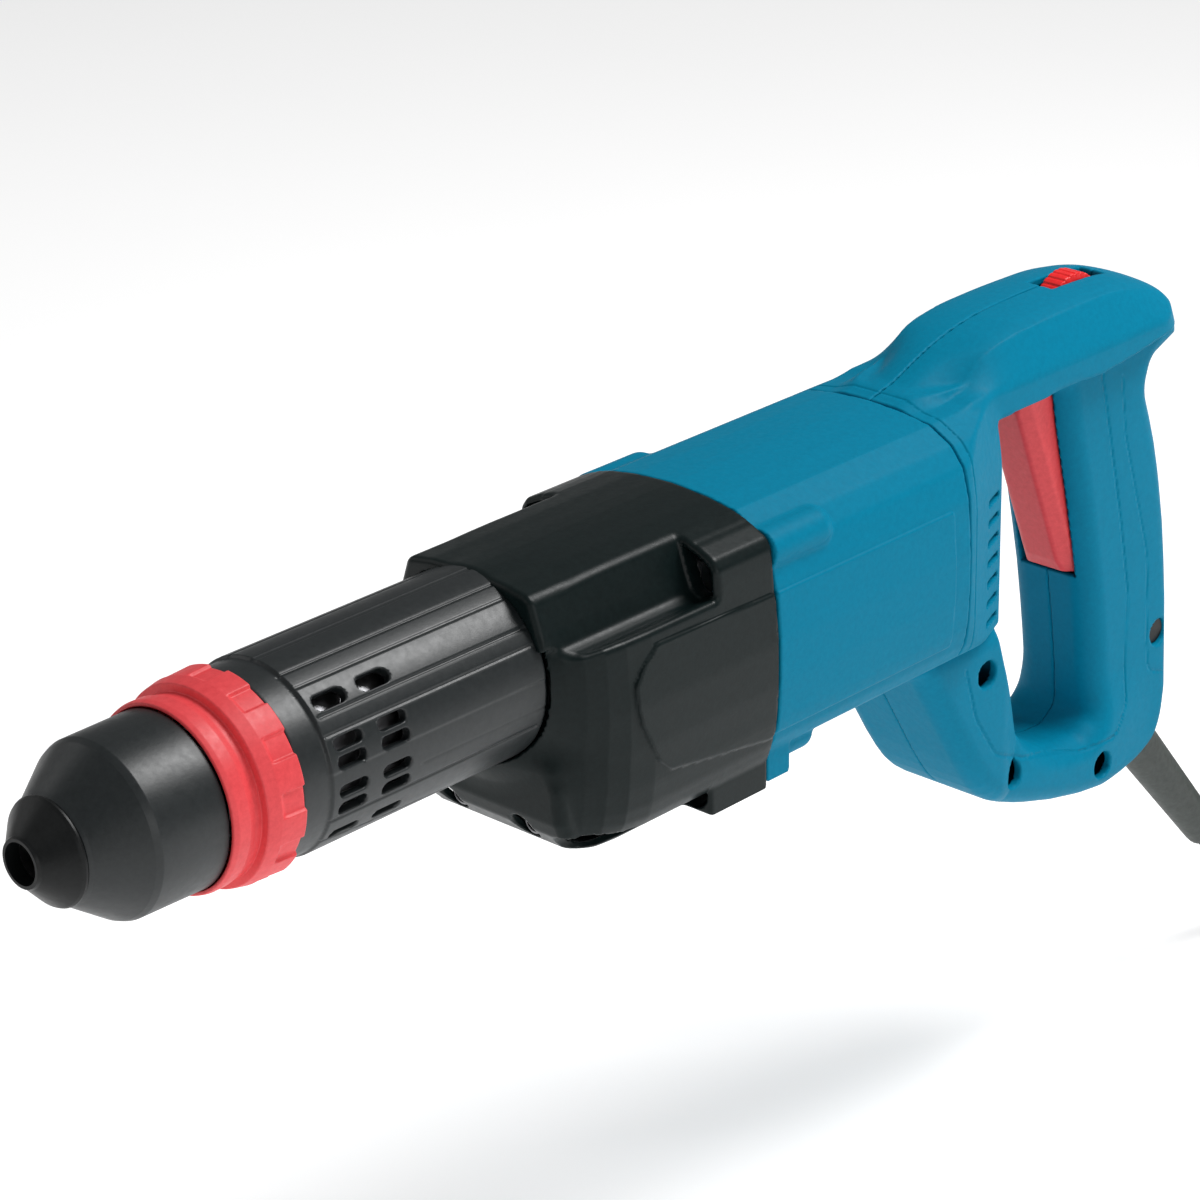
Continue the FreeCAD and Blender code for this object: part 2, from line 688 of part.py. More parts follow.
def make_gear_case():
    start_x = spec.case_front_x + 9
    body = extruded("inner_case", "YZ", [case_section()], start_x, spec.plate_x - start_x - spec.gap)
    room = prism("inner_room", inset("inner_room_outline", doc.inner_case_section, spec.case_wall), 60)
    place(room, spec.case_wall)
    seat = rod("front_seat", "x", start_x, 0, spec.inter_z, spec.bearing_r + 1.6, 10)
    seat_bore = rod("front_seat_bore", "x", spec.inter_front_x - spec.gap, 0, spec.inter_z, spec.bearing_r - 0.98, 9)
    mouth = rod("inner_mouth", "x", start_x - 1, 0, 0, spec.sleeve_r + spec.slip, spec.case_wall + 1.5)
    screw_holes = [rod(f"inner_screw_hole_{index}", "x", start_x - 1, 12.3 * side, -41, 2.1, 16)
                   for index, side in enumerate((1, -1))]
    hollow = cut("inner_hollow", body, [room])
    finish(cut("gear_case_shape", fuse("inner_seated", [hollow, seat]), [seat_bore, mouth] + screw_holes),
           "gear_case")
    plate = extruded("plate_blank", "YZ", [case_section()], spec.plate_x, spec.plate_wide)
    seats = []
    for name, height, radius in (("motor", spec.motor_z, spec.bearing_r + 0.02),
                                 ("inter", spec.inter_z, spec.bearing_r - 0.98)):
        seats.append(rod(f"plate_{name}_seat", "x", spec.plate_x + 1 - spec.gap, 0, height, radius,
                         spec.bearing_wide + 0.2))
        seats.append(rod(f"plate_{name}_hole", "x", spec.plate_x - 1, 0, height, 5.9, spec.plate_wide + 2))
    finish(cut("bearing_plate_shape", plate, seats), "bearing_plate")


def make_case_screws():
    screws = []
    for index, side in enumerate((1, -1)):
        head = rod(f"front_head_{index}", "x", 141.5, 12.3 * side, -41, 3.6, 2.4)
        shank = rod(f"front_shank_{index}", "x", 143.8, 12.3 * side, -41, 2, 14)
        screws.append(fuse(f"front_screw_{index}", [head, shank]))
    finish(group("front_screws_shape", screws), "front_screws")
    heads = bolt_rods("bolt_head", BOLT_HEAD_X - 0.1, BOLT_HEAD_X + 4.4, 4.1)
    shanks = bolt_rods("bolt_shank", BOLT_HEAD_X + 4.3, BOLT_END_X, spec.bolt_r)
    bolts = [fuse(f"housing_bolt_{index}", [heads[index], shanks[index]]) for index in range(len(BOLTS))]
    finish(group("housing_bolts_shape", bolts), "housing_bolts")


def make_motor_housing():
    start_x = spec.case_end_x + spec.gap
    long = spec.motor_end_x - start_x
    shell = extruded("motor_shell", "YZ", [main_section(spec.top_z - 1.2, spec.side_y - 0.1)], start_x, long)
    room = prism("motor_room", inset("motor_room_outline", doc.motor_shell_section, 2.6), long)
    place(room, -3)
    bosses = bolt_rods("motor_boss", start_x, BOLT_END_X + 5, 5.6)
    holes = bolt_rods("motor_bolt_hole", start_x - 1, BOLT_END_X + 1, spec.bolt_r + spec.slip)
    seat = rod("rear_seat", "x", spec.motor_end_x - 10.4, 0, spec.motor_z, spec.bearing_r + 2.4, 9)
    seat_bore = rod("rear_seat_bore", "x", spec.motor_end_x - 11, 0, spec.motor_z, spec.bearing_r + 0.02, 8.8)
    vents = []
    for index, (y, z) in enumerate(((19, 4), (-19, 4), (19, -23), (-19, -23), (0, 10.5), (0, -30))):
        vents.append(rod(f"rear_vent_{index}", "x", spec.motor_end_x - 5, y, z, 4.5, 8))
    hollow = cut("motor_hollow", shell, [room])
    finish(cut("motor_housing_shape", fuse("motor_bossed", [hollow, seat] + bosses), [seat_bore] + holes + vents),
           "motor_housing")


# ---------------------------------------------------------------- motor

def make_armature():
    shaft = turned("motor_rod", [
        (spec.plate_x - 0.5, 0), (spec.plate_x - 0.5, spec.motor_r), (spec.shaft_end_x - 1, spec.motor_r),
        (spec.shaft_end_x - 1, 0),
    ])
    pinion = gear("pinion_teeth_blank", SIZES["pinion_teeth"], -90, spec.shaft_front_x - 1, spec.gear_wide + 3)
    finish(fuse("motor_shaft_shape", [shaft, pinion]), "motor_shaft", spec.motor_z)
    blank = turned("core_blank", [
        (spec.core_x, spec.motor_r + 0.02), (spec.core_end_x, spec.motor_r + 0.02), (spec.core_end_x, spec.core_r),
        (spec.core_x, spec.core_r),
    ])
    slots = []
    for index in range(12):
        angle = math.radians(30 * index)
        reach = spec.core_r - 2.4
        slots.append(rod(f"core_slot_{index}", "x", spec.core_x - 1, reach * math.cos(angle),
                         reach * math.sin(angle), 1.9, spec.core_end_x - spec.core_x + 2))
    finish(cut("armature_core_shape", blank, slots), "armature_core", spec.motor_z)
    ends = []
    for index, (start, end, outer) in enumerate(((spec.core_x - 6.4, spec.core_x - 0.1, 17.0),
                                                 (spec.core_end_x + 0.1, spec.comm_x - 0.2, 15.5))):
        ends.append(turned(f"winding_end_{index}", [(start, 6), (end, 6), (end, outer), (start + 1.5, outer),
                                                    (start, outer - 2)]))
    finish(group("armature_windings_shape", ends), "armature_windings", spec.motor_z)
    tube("commutator", spec.comm_x, spec.comm_end_x, spec.motor_r + 0.02, spec.comm_r, spec.motor_z)
    tube("armature_front_bearing", spec.plate_x + 1, spec.plate_x + 1 + spec.bearing_wide,
         spec.motor_r + 0.02, spec.bearing_r, spec.motor_z)
    tube("armature_rear_bearing", spec.motor_end_x - 9.6, spec.motor_end_x - 2.6,
         spec.motor_r + 0.02, spec.bearing_r, spec.motor_z)


def make_fan():
    disc = turned("fan_disc", [
        (spec.fan_x, spec.motor_r + 0.02), (spec.fan_x + spec.fan_wide, spec.motor_r + 0.02),
        (spec.fan_x + spec.fan_wide, 8), (spec.fan_x + 1.6, 8), (spec.fan_x + 1.6, spec.fan_r), (spec.fan_x, spec.fan_r),
    ])
    blades = []
    for index in range(9):
        turn = FreeCAD.Rotation(FreeCAD.Vector(1, 0, 0), 40 * index)
        low = FreeCAD.Vector(0, -0.75, 7.5)
        blades.append(turned_block(f"fan_blade_{index}", spec.fan_x + 1, low, turn,
                                   spec.fan_wide - 1, 1.5, spec.fan_r - 8))
    finish(fuse("cooling_fan_shape", [disc] + blades), "cooling_fan", spec.motor_z)


def make_stator():
    tube("stator", spec.core_x - 1, spec.core_end_x + 1, spec.stator_bore_r, spec.stator_r, spec.motor_z)
    coils = []
    for index, (start, end) in enumerate(((spec.core_x - 6, spec.core_x - 1.1),
                                          (spec.core_end_x + 1.1, spec.comm_x - 0.1))):
        coils.append(turned(f"field_coil_{index}", [(start, 22.5), (end, 22.5), (end, 28.5), (start, 28.5)]))
    finish(group("field_coils_shape", coils), "field_coils", spec.motor_z)
    holders = []
    brushes = []
    for index, side in enumerate((1, -1)):
        low_y = 12.4 if side > 0 else -29.4
        shell = block(f"holder_shell_{index}", spec.comm_x + 1.2, low_y, -5, 9.6, 17, 10)
        channel = block(f"holder_channel_{index}", spec.comm_x + 2.9, low_y - 1, -3.6, 6.2, 19, 7.2)
        holders.append(cut(f"brush_holder_{index}", shell, [channel]))
        near_y = spec.comm_r + 0.02 if side > 0 else -spec.comm_r - 14
        brushes.append(block(f"carbon_brush_{index}", spec.comm_x + 3, near_y, -3.5, 6, 13.98, 7))
    finish(group("brush_holders_shape", holders), "brush_holders", spec.motor_z)
    finish(group("carbon_brushes_shape", brushes), "carbon_brushes", spec.motor_z)


# ---------------------------------------------------------------- handle

HANDLE_OUTLINE = [
    (spec.handle_x, 24), (298.8, 27.3), (314, 33.5), (333.5, 37.3), (366, 37.6), (384, 36.8), (397, 32.5), (406, 26),
    (411, 18), (411.5, 12.5), (399, 8), (396.5, 1), (402.8, -16), (409.3, -42), (412.5, -68), (414.2, -96),
    (412.8, -106), (408.4, -113.4), (399, -117.6), (378, -117.8), (354, -113), (331, -105.4), (317.5, -96.9),
    (309, -84), (298.4, -66.3), (spec.handle_x, -50.5),
]
OPENING_OUTLINE = [
    (320.6, 11), (322, -26), (321, -45), (324, -58), (333, -78), (343, -90), (356, -96.5), (368, -97.2), (374.6, -93),
    (373.8, -80), (370.3, -52), (366, -20), (364, 0), (363, 11),
]
HANDLE_SCREWS = [(316.6, -58.3), (332.5, -95.0), (374.5, -107.3), (404.4, -76.5)]


def handle_half(label, side):
    """One half of the D-handle: side is -1 for the left half and 1 for the right half."""
    far_y = spec.arm_half if side > 0 else as_size(0)
    body = extruded(label + "_body", "XZ", [HANDLE_OUTLINE], far_y, spec.arm_half)
    hole = extruded(label + "_opening", "XZ", [OPENING_OUTLINE], far_y + 1, spec.arm_half + 2)
    wing_y = 34.4
    wing = extruded(label + "_wing", "XY", [[
        (spec.handle_x, 0), (spec.handle_x, side * wing_y), (spec.handle_x + 3, side * wing_y),
        (320.4, side * 20.0), (320.4, 0),
    ]], -36, 56)
    wing_room = extruded(label + "_wing_room", "XY", [[
        (spec.handle_x + 2.4, 0), (spec.handle_x + 2.4, side * (wing_y - 3)), (spec.handle_x + 3.6, side * (wing_y - 3)),
        (317.6, side * 17.6), (317.6, 0),
    ]], -33.4, 50.8)
    deep_room = prism(label + "_room", inset(label + "_room_outline", doc.getObject(label + "_body_section"),
                                             spec.shell), spec.arm_half + 1, 1)
    walls = prism(label + "_opening_wall", inset(label + "_opening_wall_outline",
                                                 doc.getObject(label + "_opening_section"), -spec.shell),
                  spec.arm_half + 4, 2)
    ring_room = cut(label + "_ring_room", deep_room, [walls])
    grip_depth = spec.grip_half - spec.shell
    shallow = block(label + "_shallow", 280, 0 if side > 0 else -grip_depth, -130, 140, grip_depth, 180)
    deep_half = spec.arm_half - spec.shell
    deep = block(label + "_deep", 280, 0 if side > 0 else -deep_half, -70, 82, deep_half, 120)
    reach = fuse(label + "_reach", [shallow, deep])
    cavity = common(label + "_cavity", ring_room, reach)
    slab_y = spec.grip_half if side > 0 else -spec.arm_half - 1
    grip_slab = block(label + "_grip_slab", 363, slab_y, -94, 60, spec.arm_half - spec.grip_half + 1, 100)
    base_y = spec.base_half if side > 0 else -spec.arm_half - 1
    base_slab = block(label + "_base_slab", 280, base_y, -130, 140, spec.arm_half - spec.base_half + 1, 66)
    trigger_way = block(label + "_trigger_way", 338, -spec.trigger_half - 0.5, -53, 43,
                        2 * spec.trigger_half + 1, 73)
    dial_way = block(label + "_dial_way", spec.dial_x - spec.dial_r - 0.6, -spec.dial_wide / 2 - 0.4, 14,
                     2 * spec.dial_r + 1.2, spec.dial_wide + 0.8, 30)
    guard_way = guard_cylinder(label + "_guard_way", -15, 34, 7.6)
    pillars = []
    screw_ways = []
    for index, (x, z) in enumerate(HANDLE_SCREWS):
        start_y = 0 if side > 0 else -spec.grip_half + 0.6
        pillars.append(rod(f"{label}_pillar_{index}", "y", x, start_y, z, 5.0, spec.grip_half - 0.6))
        screw_ways.append(rod(f"{label}_screw_way_{index}", "y", x, -12 if side < 0 else -1, z, 1.85,
                              12.5 if side < 0 else 10))
        if side < 0:
            screw_ways.append(rod(f"{label}_head_way_{index}", "y", x, -spec.arm_half - 1, z, 4.0,
                                  spec.arm_half - 9.05))
    boss_y = 9.8 if side > 0 else -deep_half - 0.3
    pivot_boss = rod(label + "_pivot_boss", "y", spec.pivot_x, boss_y, spec.pivot_z, 4.2, deep_half - 9.5)
    pivot_hole = rod(label + "_pivot_hole", "y", spec.pivot_x, -spec.arm_half + 3 if side < 0 else 0, spec.pivot_z,
                     2.05, spec.arm_half - 3)
    louvres = []
    for index in range(7):
        louvres.append(block(f"{label}_louvre_{index}", 303, 18 if side > 0 else -38, -30 + 6.2 * index, 14, 20, 2.2))
    outer = cut(label + "_outer", fuse(label + "_joined", [body, wing]), [hole, wing_room, cavity, grip_slab, base_slab])
    filled = fuse(label + "_filled", [outer, pivot_boss] + [
        common(f"{label}_pillar_cut_{index}", pillar, doc.getObject(label + "_body"))
        for index, pillar in enumerate(pillars)])
    ways = [trigger_way, dial_way, guard_way, pivot_hole] + screw_ways + louvres
    finish(cut(label + "_shape", filled, ways), label)


def guard_direction():
    angle = math.radians(SIZES["cord_angle"])
    return FreeCAD.Vector(math.cos(angle), 0, -math.sin(angle))


def guard_cylinder(name, start, length, radius, end_radius=None):
    """A cylinder or cone along the cord's way out of the handle, from a distance along it."""
    along = guard_direction()
    turn = FreeCAD.Rotation(FreeCAD.Vector(0, 0, 1), along)
    x = spec.cord_exit_x + start * along.x
    z = spec.cord_exit_z + start * along.z
    if end_radius is None:
        obj = rod(name, "z", x, 0, z, radius, length)
    else:
        obj = cone(name, "z", x, 0, z, radius, end_radius, length)
    obj.Placement = FreeCAD.Placement(obj.Placement.Base, turn)
    return obj


def make_handle_screws():
    screws = []
    for index, (x, z) in enumerate(HANDLE_SCREWS):
        head = rod(f"handle_head_{index}", "y", x, -13, z, 3.7, 2.9)
        shank = rod(f"handle_shank_{index}", "y", x, -10.2, z, 1.8, 18.5)
        screws.append(fuse(f"handle_screw_{index}", [head, shank]))
    finish(group("handle_screws_shape", screws), "handle_screws")


def make_trigger():
    lever = extruded("trigger_lever", "XZ", [[
        (347.5, 12), (345.8, 6), (366, -44.5), (368.5, -48.5), (372.4, -48.6), (371.6, -38), (366, 2), (362, 14),
        (357, 18.4), (347.5, 18.4),
    ]], spec.trigger_half, 2 * spec.trigger_half)
    hole = rod("trigger_hole", "y", spec.pivot_x, -12, spec.pivot_z, 2.05, 24)
    hollow = block("trigger_hollow", 362, -spec.trigger_half + 2, -24, 20, 2 * spec.trigger_half - 4, 26)
    finish(cut("trigger_shape", lever, [hole, hollow]), "trigger")
    pin_half = spec.arm_half - 3.2
    finish(rod("trigger_pin_rod", "y", 0, 0, 0, 2, 2 * pin_half), "trigger_pin")
    pin = subparts[-1]
    x = spec.grip_x - spec.pivot_x
    place(pin, x, -pin_half, spec.pivot_z - spec.grip_z, ALONG["y"])


def make_dial():
    half = spec.dial_wide / 2
    wheel = rod("dial_wheel", "y", spec.dial_x, -half, spec.dial_z, spec.dial_r, spec.dial_wide)
    axle = rod("dial_axle", "y", spec.dial_x, -half - 2.6, spec.dial_z, 1.8, spec.dial_wide + 5.2)
    notches = []
    count = 30
    for index in range(count):
        angle = 2 * math.pi * index / count
        reach = spec.dial_r + 0.35
        notches.append(rod(f"dial_notch_{index}", "y", spec.dial_x + reach * math.cos(angle), -half - 1,
                           spec.dial_z + reach * math.sin(angle), 0.7, spec.dial_wide + 2))
    finish(cut("speed_dial_shape", fuse("dial_blank", [wheel, axle]), notches), "speed_dial")


def make_electrics():
    body = block("switch_blank", 382.5, -11, -58, 15, 22, 38)
    finish(body, "switch_body")
    place_turned(body, 382.5, -11, -58)
    control = cut("speed_controller_shape", block("controller_blank", 366, -11, 13.2, 16, 22, 10), [
        rod("controller_way", "y", spec.dial_x, -12, spec.dial_z, spec.dial_r + 0.4, 24)])
    finish(control, "speed_controller")
    terminal = block("terminal_blank", 384, -8, -84, 14, 16, 15)
    finish(terminal, "terminal_block")
    place_turned(terminal, 384, -8, -84)


def place_turned(obj, x, y, z):
    """Place a block that is itself a sub-part, by its corner in tool coordinates."""
    half_turn = FreeCAD.Rotation(FreeCAD.Vector(0, 0, 1), 180)
    place(obj, spec.grip_x - x, -as_size(y), as_size(z) - spec.grip_z, half_turn)


# ---------------------------------------------------------------- cord

def make_cord_guard():
    inner_long = 13
    root = guard_cylinder("guard_root", -inner_long, inner_long + 1, 7.4)
    flange = guard_cylinder("guard_flange", -inner_long, 3, 9.0)
    taper = guard_cylinder("guard_taper", 0, spec.guard_long, 7.2, 5.6)
    bore = guard_cylinder("guard_bore", -inner_long - 1, spec.guard_long + 30, spec.cord_r + 0.05)
    finish(cut("cord_guard_shape", fuse("guard_blank", [root, flange, taper]), [bore]), "cord_guard")


def make_cord_clamp():
    bar = guard_cylinder("clamp_blank", -22, 7, 7.0)
    bore = guard_cylinder("clamp_bore", -23, 9, spec.cord_r + 0.05)
    finish(cut("cord_clamp_shape", bar, [bore]), "cord_clamp")


def cord_tube(name, points, radius):
    """A round cord along straight runs joined by tangent arcs."""
    edges = []
    last = points[0]
    for before, corner, after in zip(points, points[1:], points[2:]):
        into = (corner - before).normalize()
        out = (after - corner).normalize()
        half_turn = into.getAngle(out) / 2
        reach = 0.45 * min((corner - before).Length, (after - corner).Length)
        bend_r = reach / math.tan(half_turn)
        start = corner - into * reach
        end = corner + out * reach
        middle_way = (out - into).normalize()
        middle = corner + middle_way * (bend_r / math.cos(half_turn) - bend_r)
        edges.append(Part.LineSegment(last, start).toShape())
        edges.append(Part.Arc(start, middle, end).toShape())
        print(f"{name}: bend radius {bend_r:.1f} mm")
        last = end
    edges.append(Part.LineSegment(last, points[-1]).toShape())
    route = Part.Wire(edges)
    section = Part.Wire(Part.makeCircle(radius, points[0], (points[1] - points[0])))
    solid = route.makePipeShell([section], True, True)
    expected = math.pi * radius ** 2 * route.Length
    print(f"{name}: length {route.Length:.1f} mm, volume {solid.Volume:.0f} of {expected:.0f} mm3")
    return solid


def make_cord():
    cord_r = SIZES["cord_r"]
    along = guard_direction()
    way_out = FreeCAD.Vector(SIZES["cord_exit_x"], 0, SIZES["cord_exit_z"])
    guard_end = way_out + along * SIZES["guard_long"]
    inner = doc.addObject("Part::Feature", "cord_inner_shape")
    inner_start = way_out - along * 26
    inner.Shape = Part.makeCylinder(cord_r, (guard_end - inner_start).Length - 0.1, inner_start, along)
    finish(inner, "cord_inner")
    floor = SIZES["floor_level"] + cord_r
    outer_turn_y = -SIZES["hank_mid_r"] - cord_r * (SIZES["hank_turns_wide"] - 1)
    lead_points = [
        guard_end,
        FreeCAD.Vector(463.6, 0, -175.6),
        FreeCAD.Vector(484.9, -5, -191.0),
        FreeCAD.Vector(506.0, -17, floor),
        FreeCAD.Vector(530.0, -30, floor),
        FreeCAD.Vector(SIZES["hank_x"] - SIZES["hank_run"] / 2, outer_turn_y, floor),
    ]
    top_level = floor + 2 * cord_r * (SIZES["hank_turns_high"] - 1)
    tail_points = [
        FreeCAD.Vector(SIZES["hank_x"] - 4, outer_turn_y, top_level),
        FreeCAD.Vector(SIZES["hank_x"] + 14, outer_turn_y, top_level + 7),
        FreeCAD.Vector(SIZES["hank_x"] + 36, -31, top_level + 8.5),
        FreeCAD.Vector(SIZES["hank_x"] + 60, -22, top_level + 3),
        FreeCAD.Vector(SIZES["hank_x"] + 82, -8, top_level - 6),
        FreeCAD.Vector(SIZES["plug_x"], 0, SIZES["plug_z"]),
    ]
    lead = doc.addObject("Part::Feature", "cord_lead_shape")
    lead.Shape = cord_tube("lead", lead_points, cord_r)
    finish(lead, "power_cord")
    tail = doc.addObject("Part::Feature", "cord_tail_shape")
    tail.Shape = cord_tube("tail", tail_points, cord_r)
    finish(tail, "cord_tail")


def hank_outline(name, radius, start_z, high):
    """An upright solid with straight sides and round ends, the length of the hank's runs."""
    half_run = spec.hank_run / 2
    ends = [rod(f"{name}_end_{index}", "z", spec.hank_x + half_run * side, 0, start_z, radius, high)
            for index, side in enumerate((-1, 1))]
    middle = block(f"{name}_middle", spec.hank_x - half_run, -radius, start_z, spec.hank_run, 2 * radius, high)
    return fuse(name, ends + [middle])


def make_hank():
    half_wide = spec.cord_r * spec.hank_turns_wide
    high = 2 * spec.cord_r * spec.hank_turns_high
    outer = hank_outline("hank_outer", spec.hank_mid_r + half_wide, spec.floor_level, high)
    hole = hank_outline("hank_hole", spec.hank_mid_r - half_wide, spec.floor_level - 1, high + 2)
    finish(cut("cord_coil_shape", outer, [hole]), "cord_coil")
    thick = 1.0
    low_y = -spec.hank_mid_r - half_wide
    band = block("tie_blank", spec.hank_x - 19, low_y - thick, spec.floor_level,
                 10, 2 * half_wide + 2 * thick, high + thick)
    window = block("tie_window", spec.hank_x - 20, low_y + 0.2, spec.floor_level + thick,
                   12, 2 * half_wide - 0.4, high - thick)
    finish(cut("cord_tie_shape", band, [window]), "cord_tie")


def make_plug():
    plug_r = 18.0
    end_x = spec.plug_x + 0.1
    shell = turned("plug_shell", [
        (end_x, 0), (end_x, 5), (end_x + 19, 6.8), (end_x + 22, 12), (end_x + 30, plug_r - 0.6),
        (end_x + 48, plug_r), (end_x + 54, plug_r - 1), (end_x + 54, 0),
    ])
    pins = [rod(f"plug_pin_{index}", "x", end_x + 53, 9.5 * side, 0, 2.4, 20) for index, side in enumerate((1, -1))]
    finish(fuse("plug_shape", [shell] + pins), "plug", spec.plug_z)


# ---------------------------------------------------------------- all sub-parts

make_chuck()
make_barrel()
make_piston()
make_gear_train()
make_swash_arm()
make_gear_housing()
make_gear_case()
make_case_screws()
make_motor_housing()
make_armature()
make_fan()
make_stator()
handle_half("handle_left", -1)
handle_half("handle_right", 1)
make_handle_screws()
make_trigger()
make_dial()
make_electrics()
make_cord_guard()
make_cord_clamp()
make_cord()
make_hank()
make_plug()
doc.recompute()

for item in doc.Objects:
    if "Invalid" in item.State or "Error" in item.State:
        raise RuntimeError(f"{item.Label} failed: {item.State}")
for item in subparts:
    if item.Shape.isNull() or not item.Shape.isValid():
        raise RuntimeError(f"{item.Label} has no valid shape")

os.makedirs("parts", exist_ok=True)
for item in subparts:
    item.Shape.exportStep(f"parts/{item.Label}.step")
    box = item.Shape.BoundBox
    print(f"{item.Label}: {len(item.Shape.Solids)} solids, {item.Shape.Volume / 1000:.2f} cm3, "
          f"x {box.XMin:.1f} {box.XMax:.1f}, y {box.YMin:.1f} {box.YMax:.1f}, z {box.ZMin:.1f} {box.ZMax:.1f}")
print(f"{len(subparts)} sub-parts")
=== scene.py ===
import json
import math

import bmesh
import bpy
import numpy as np
import openvdb
from mathutils import Matrix, Vector

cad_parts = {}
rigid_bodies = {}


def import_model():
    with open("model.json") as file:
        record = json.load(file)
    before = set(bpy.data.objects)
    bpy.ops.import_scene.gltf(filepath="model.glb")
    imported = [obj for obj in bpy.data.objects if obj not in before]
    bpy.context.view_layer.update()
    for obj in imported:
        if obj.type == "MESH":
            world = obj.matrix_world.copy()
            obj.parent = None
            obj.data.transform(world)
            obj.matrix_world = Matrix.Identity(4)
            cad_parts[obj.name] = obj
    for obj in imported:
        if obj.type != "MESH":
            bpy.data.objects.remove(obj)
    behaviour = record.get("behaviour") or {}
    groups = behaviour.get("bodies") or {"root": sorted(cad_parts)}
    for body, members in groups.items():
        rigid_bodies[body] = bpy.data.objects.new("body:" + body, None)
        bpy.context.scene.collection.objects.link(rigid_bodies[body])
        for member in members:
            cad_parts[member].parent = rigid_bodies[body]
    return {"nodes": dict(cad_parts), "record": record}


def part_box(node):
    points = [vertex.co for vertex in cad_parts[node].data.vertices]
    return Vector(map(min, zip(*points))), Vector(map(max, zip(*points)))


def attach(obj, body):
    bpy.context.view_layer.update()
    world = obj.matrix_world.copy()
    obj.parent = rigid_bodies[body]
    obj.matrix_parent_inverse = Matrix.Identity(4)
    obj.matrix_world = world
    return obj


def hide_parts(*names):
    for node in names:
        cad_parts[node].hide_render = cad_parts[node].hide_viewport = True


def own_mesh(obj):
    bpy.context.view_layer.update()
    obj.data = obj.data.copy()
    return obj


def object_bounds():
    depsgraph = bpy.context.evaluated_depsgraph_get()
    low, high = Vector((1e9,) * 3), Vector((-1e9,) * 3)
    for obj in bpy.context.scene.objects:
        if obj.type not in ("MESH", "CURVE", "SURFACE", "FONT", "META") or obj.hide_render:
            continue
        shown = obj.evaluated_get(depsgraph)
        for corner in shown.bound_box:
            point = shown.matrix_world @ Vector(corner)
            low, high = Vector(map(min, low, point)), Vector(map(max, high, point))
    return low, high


# Demolition hammer. Shapes are worked out in tool millimetres: x runs rearwards from the nose tip,
# y is negative on the operator's left and z runs up from the striking axis.
GRIP_X = 391.0
GRIP_Z = -45.0
TRIGGER_PIN = (352.0, 13.0)
DIAL_MIDDLE = (374.0, 26.6)
CORD_WAY = (408.5, -112.0)
STEP = 1.0

for leftover in list(bpy.data.objects):
    bpy.data.objects.remove(leftover)
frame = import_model()
cad_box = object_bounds()
nodes = frame["nodes"]


def to_row(points):
    """Tool millimetres to the row's frame in metres."""
    x, y, z = np.moveaxis(np.asarray(points, float), -1, 0)
    return np.stack([(GRIP_X - x) / 1000, -y / 1000, (z - GRIP_Z) / 1000], axis=-1)


# ---------------------------------------------------------------- camera

camera_data = bpy.data.cameras.new("camera")
camera_data.lens = 120.0
camera_data.sensor_width = 36.0
camera = bpy.data.objects.new("camera", camera_data)
camera.matrix_world = Matrix((
    (-0.6800, -0.3016, 0.6683, 0.8667),
    (0.7330, -0.2582, 0.6293, 0.6218),
    (-0.0173, 0.9178, 0.3967, 0.4386),
    (0.0, 0.0, 0.0, 1.0),
))
bpy.context.scene.collection.objects.link(camera)
bpy.context.scene.camera = camera


# ---------------------------------------------------------------- materials

def new_material(name):
    material = bpy.data.materials.new(name)
    material.use_nodes = True
    tree = material.node_tree
    tree.nodes.clear()
    out = tree.nodes.new("ShaderNodeOutputMaterial")
    shader = tree.nodes.new("ShaderNodeBsdfPrincipled")
    tree.links.new(shader.outputs[0], out.inputs[0])
    return material, tree, shader


def noise(tree, scale, detail=3.0, roughness=0.5, stretch=None):
    """Noise in the row's frame, in cycles per metre."""
    coords = tree.nodes.new("ShaderNodeTexCoord")
    texture = tree.nodes.new("ShaderNodeTexNoise")
    texture.inputs["Scale"].default_value = scale
    texture.inputs["Detail"].default_value = detail
    texture.inputs["Roughness"].default_value = roughness
    if stretch is None:
        tree.links.new(coords.outputs["Object"], texture.inputs["Vector"])
    else:
        mapping = tree.nodes.new("ShaderNodeMapping")
        mapping.inputs["Scale"].default_value = stretch
        tree.links.new(coords.outputs["Object"], mapping.inputs["Vector"])
        tree.links.new(mapping.outputs[0], texture.inputs["Vector"])
    return texture.outputs["Fac"]


def ramp(tree, value, low, high):
    """A colour or grey ramp across the middle of a noise value."""
    node = tree.nodes.new("ShaderNodeValToRGB")
    node.color_ramp.elements[0].position = 0.3
    node.color_ramp.elements[1].position = 0.7
    node.color_ramp.elements[0].color = (*low, 1.0)
    node.color_ramp.elements[1].color = (*high, 1.0)
    tree.links.new(value, node.inputs[0])
    return node.outputs[0]


def bump(tree, shader, heights):
    """Bump layers as (height value, strength, distance in metres)."""
    last = None
    for value, strength, distance in heights:
        node = tree.nodes.new("ShaderNodeBump")
        node.inputs["Strength"].default_value = strength
        node.inputs["Distance"].default_value = distance
        tree.links.new(value, node.inputs["Height"])
        if last is not None:
            tree.links.new(last, node.inputs["Normal"])
        last = node.outputs[0]
    tree.links.new(last, shader.inputs["Normal"])


GRAIN_DEPTH = 0.00003


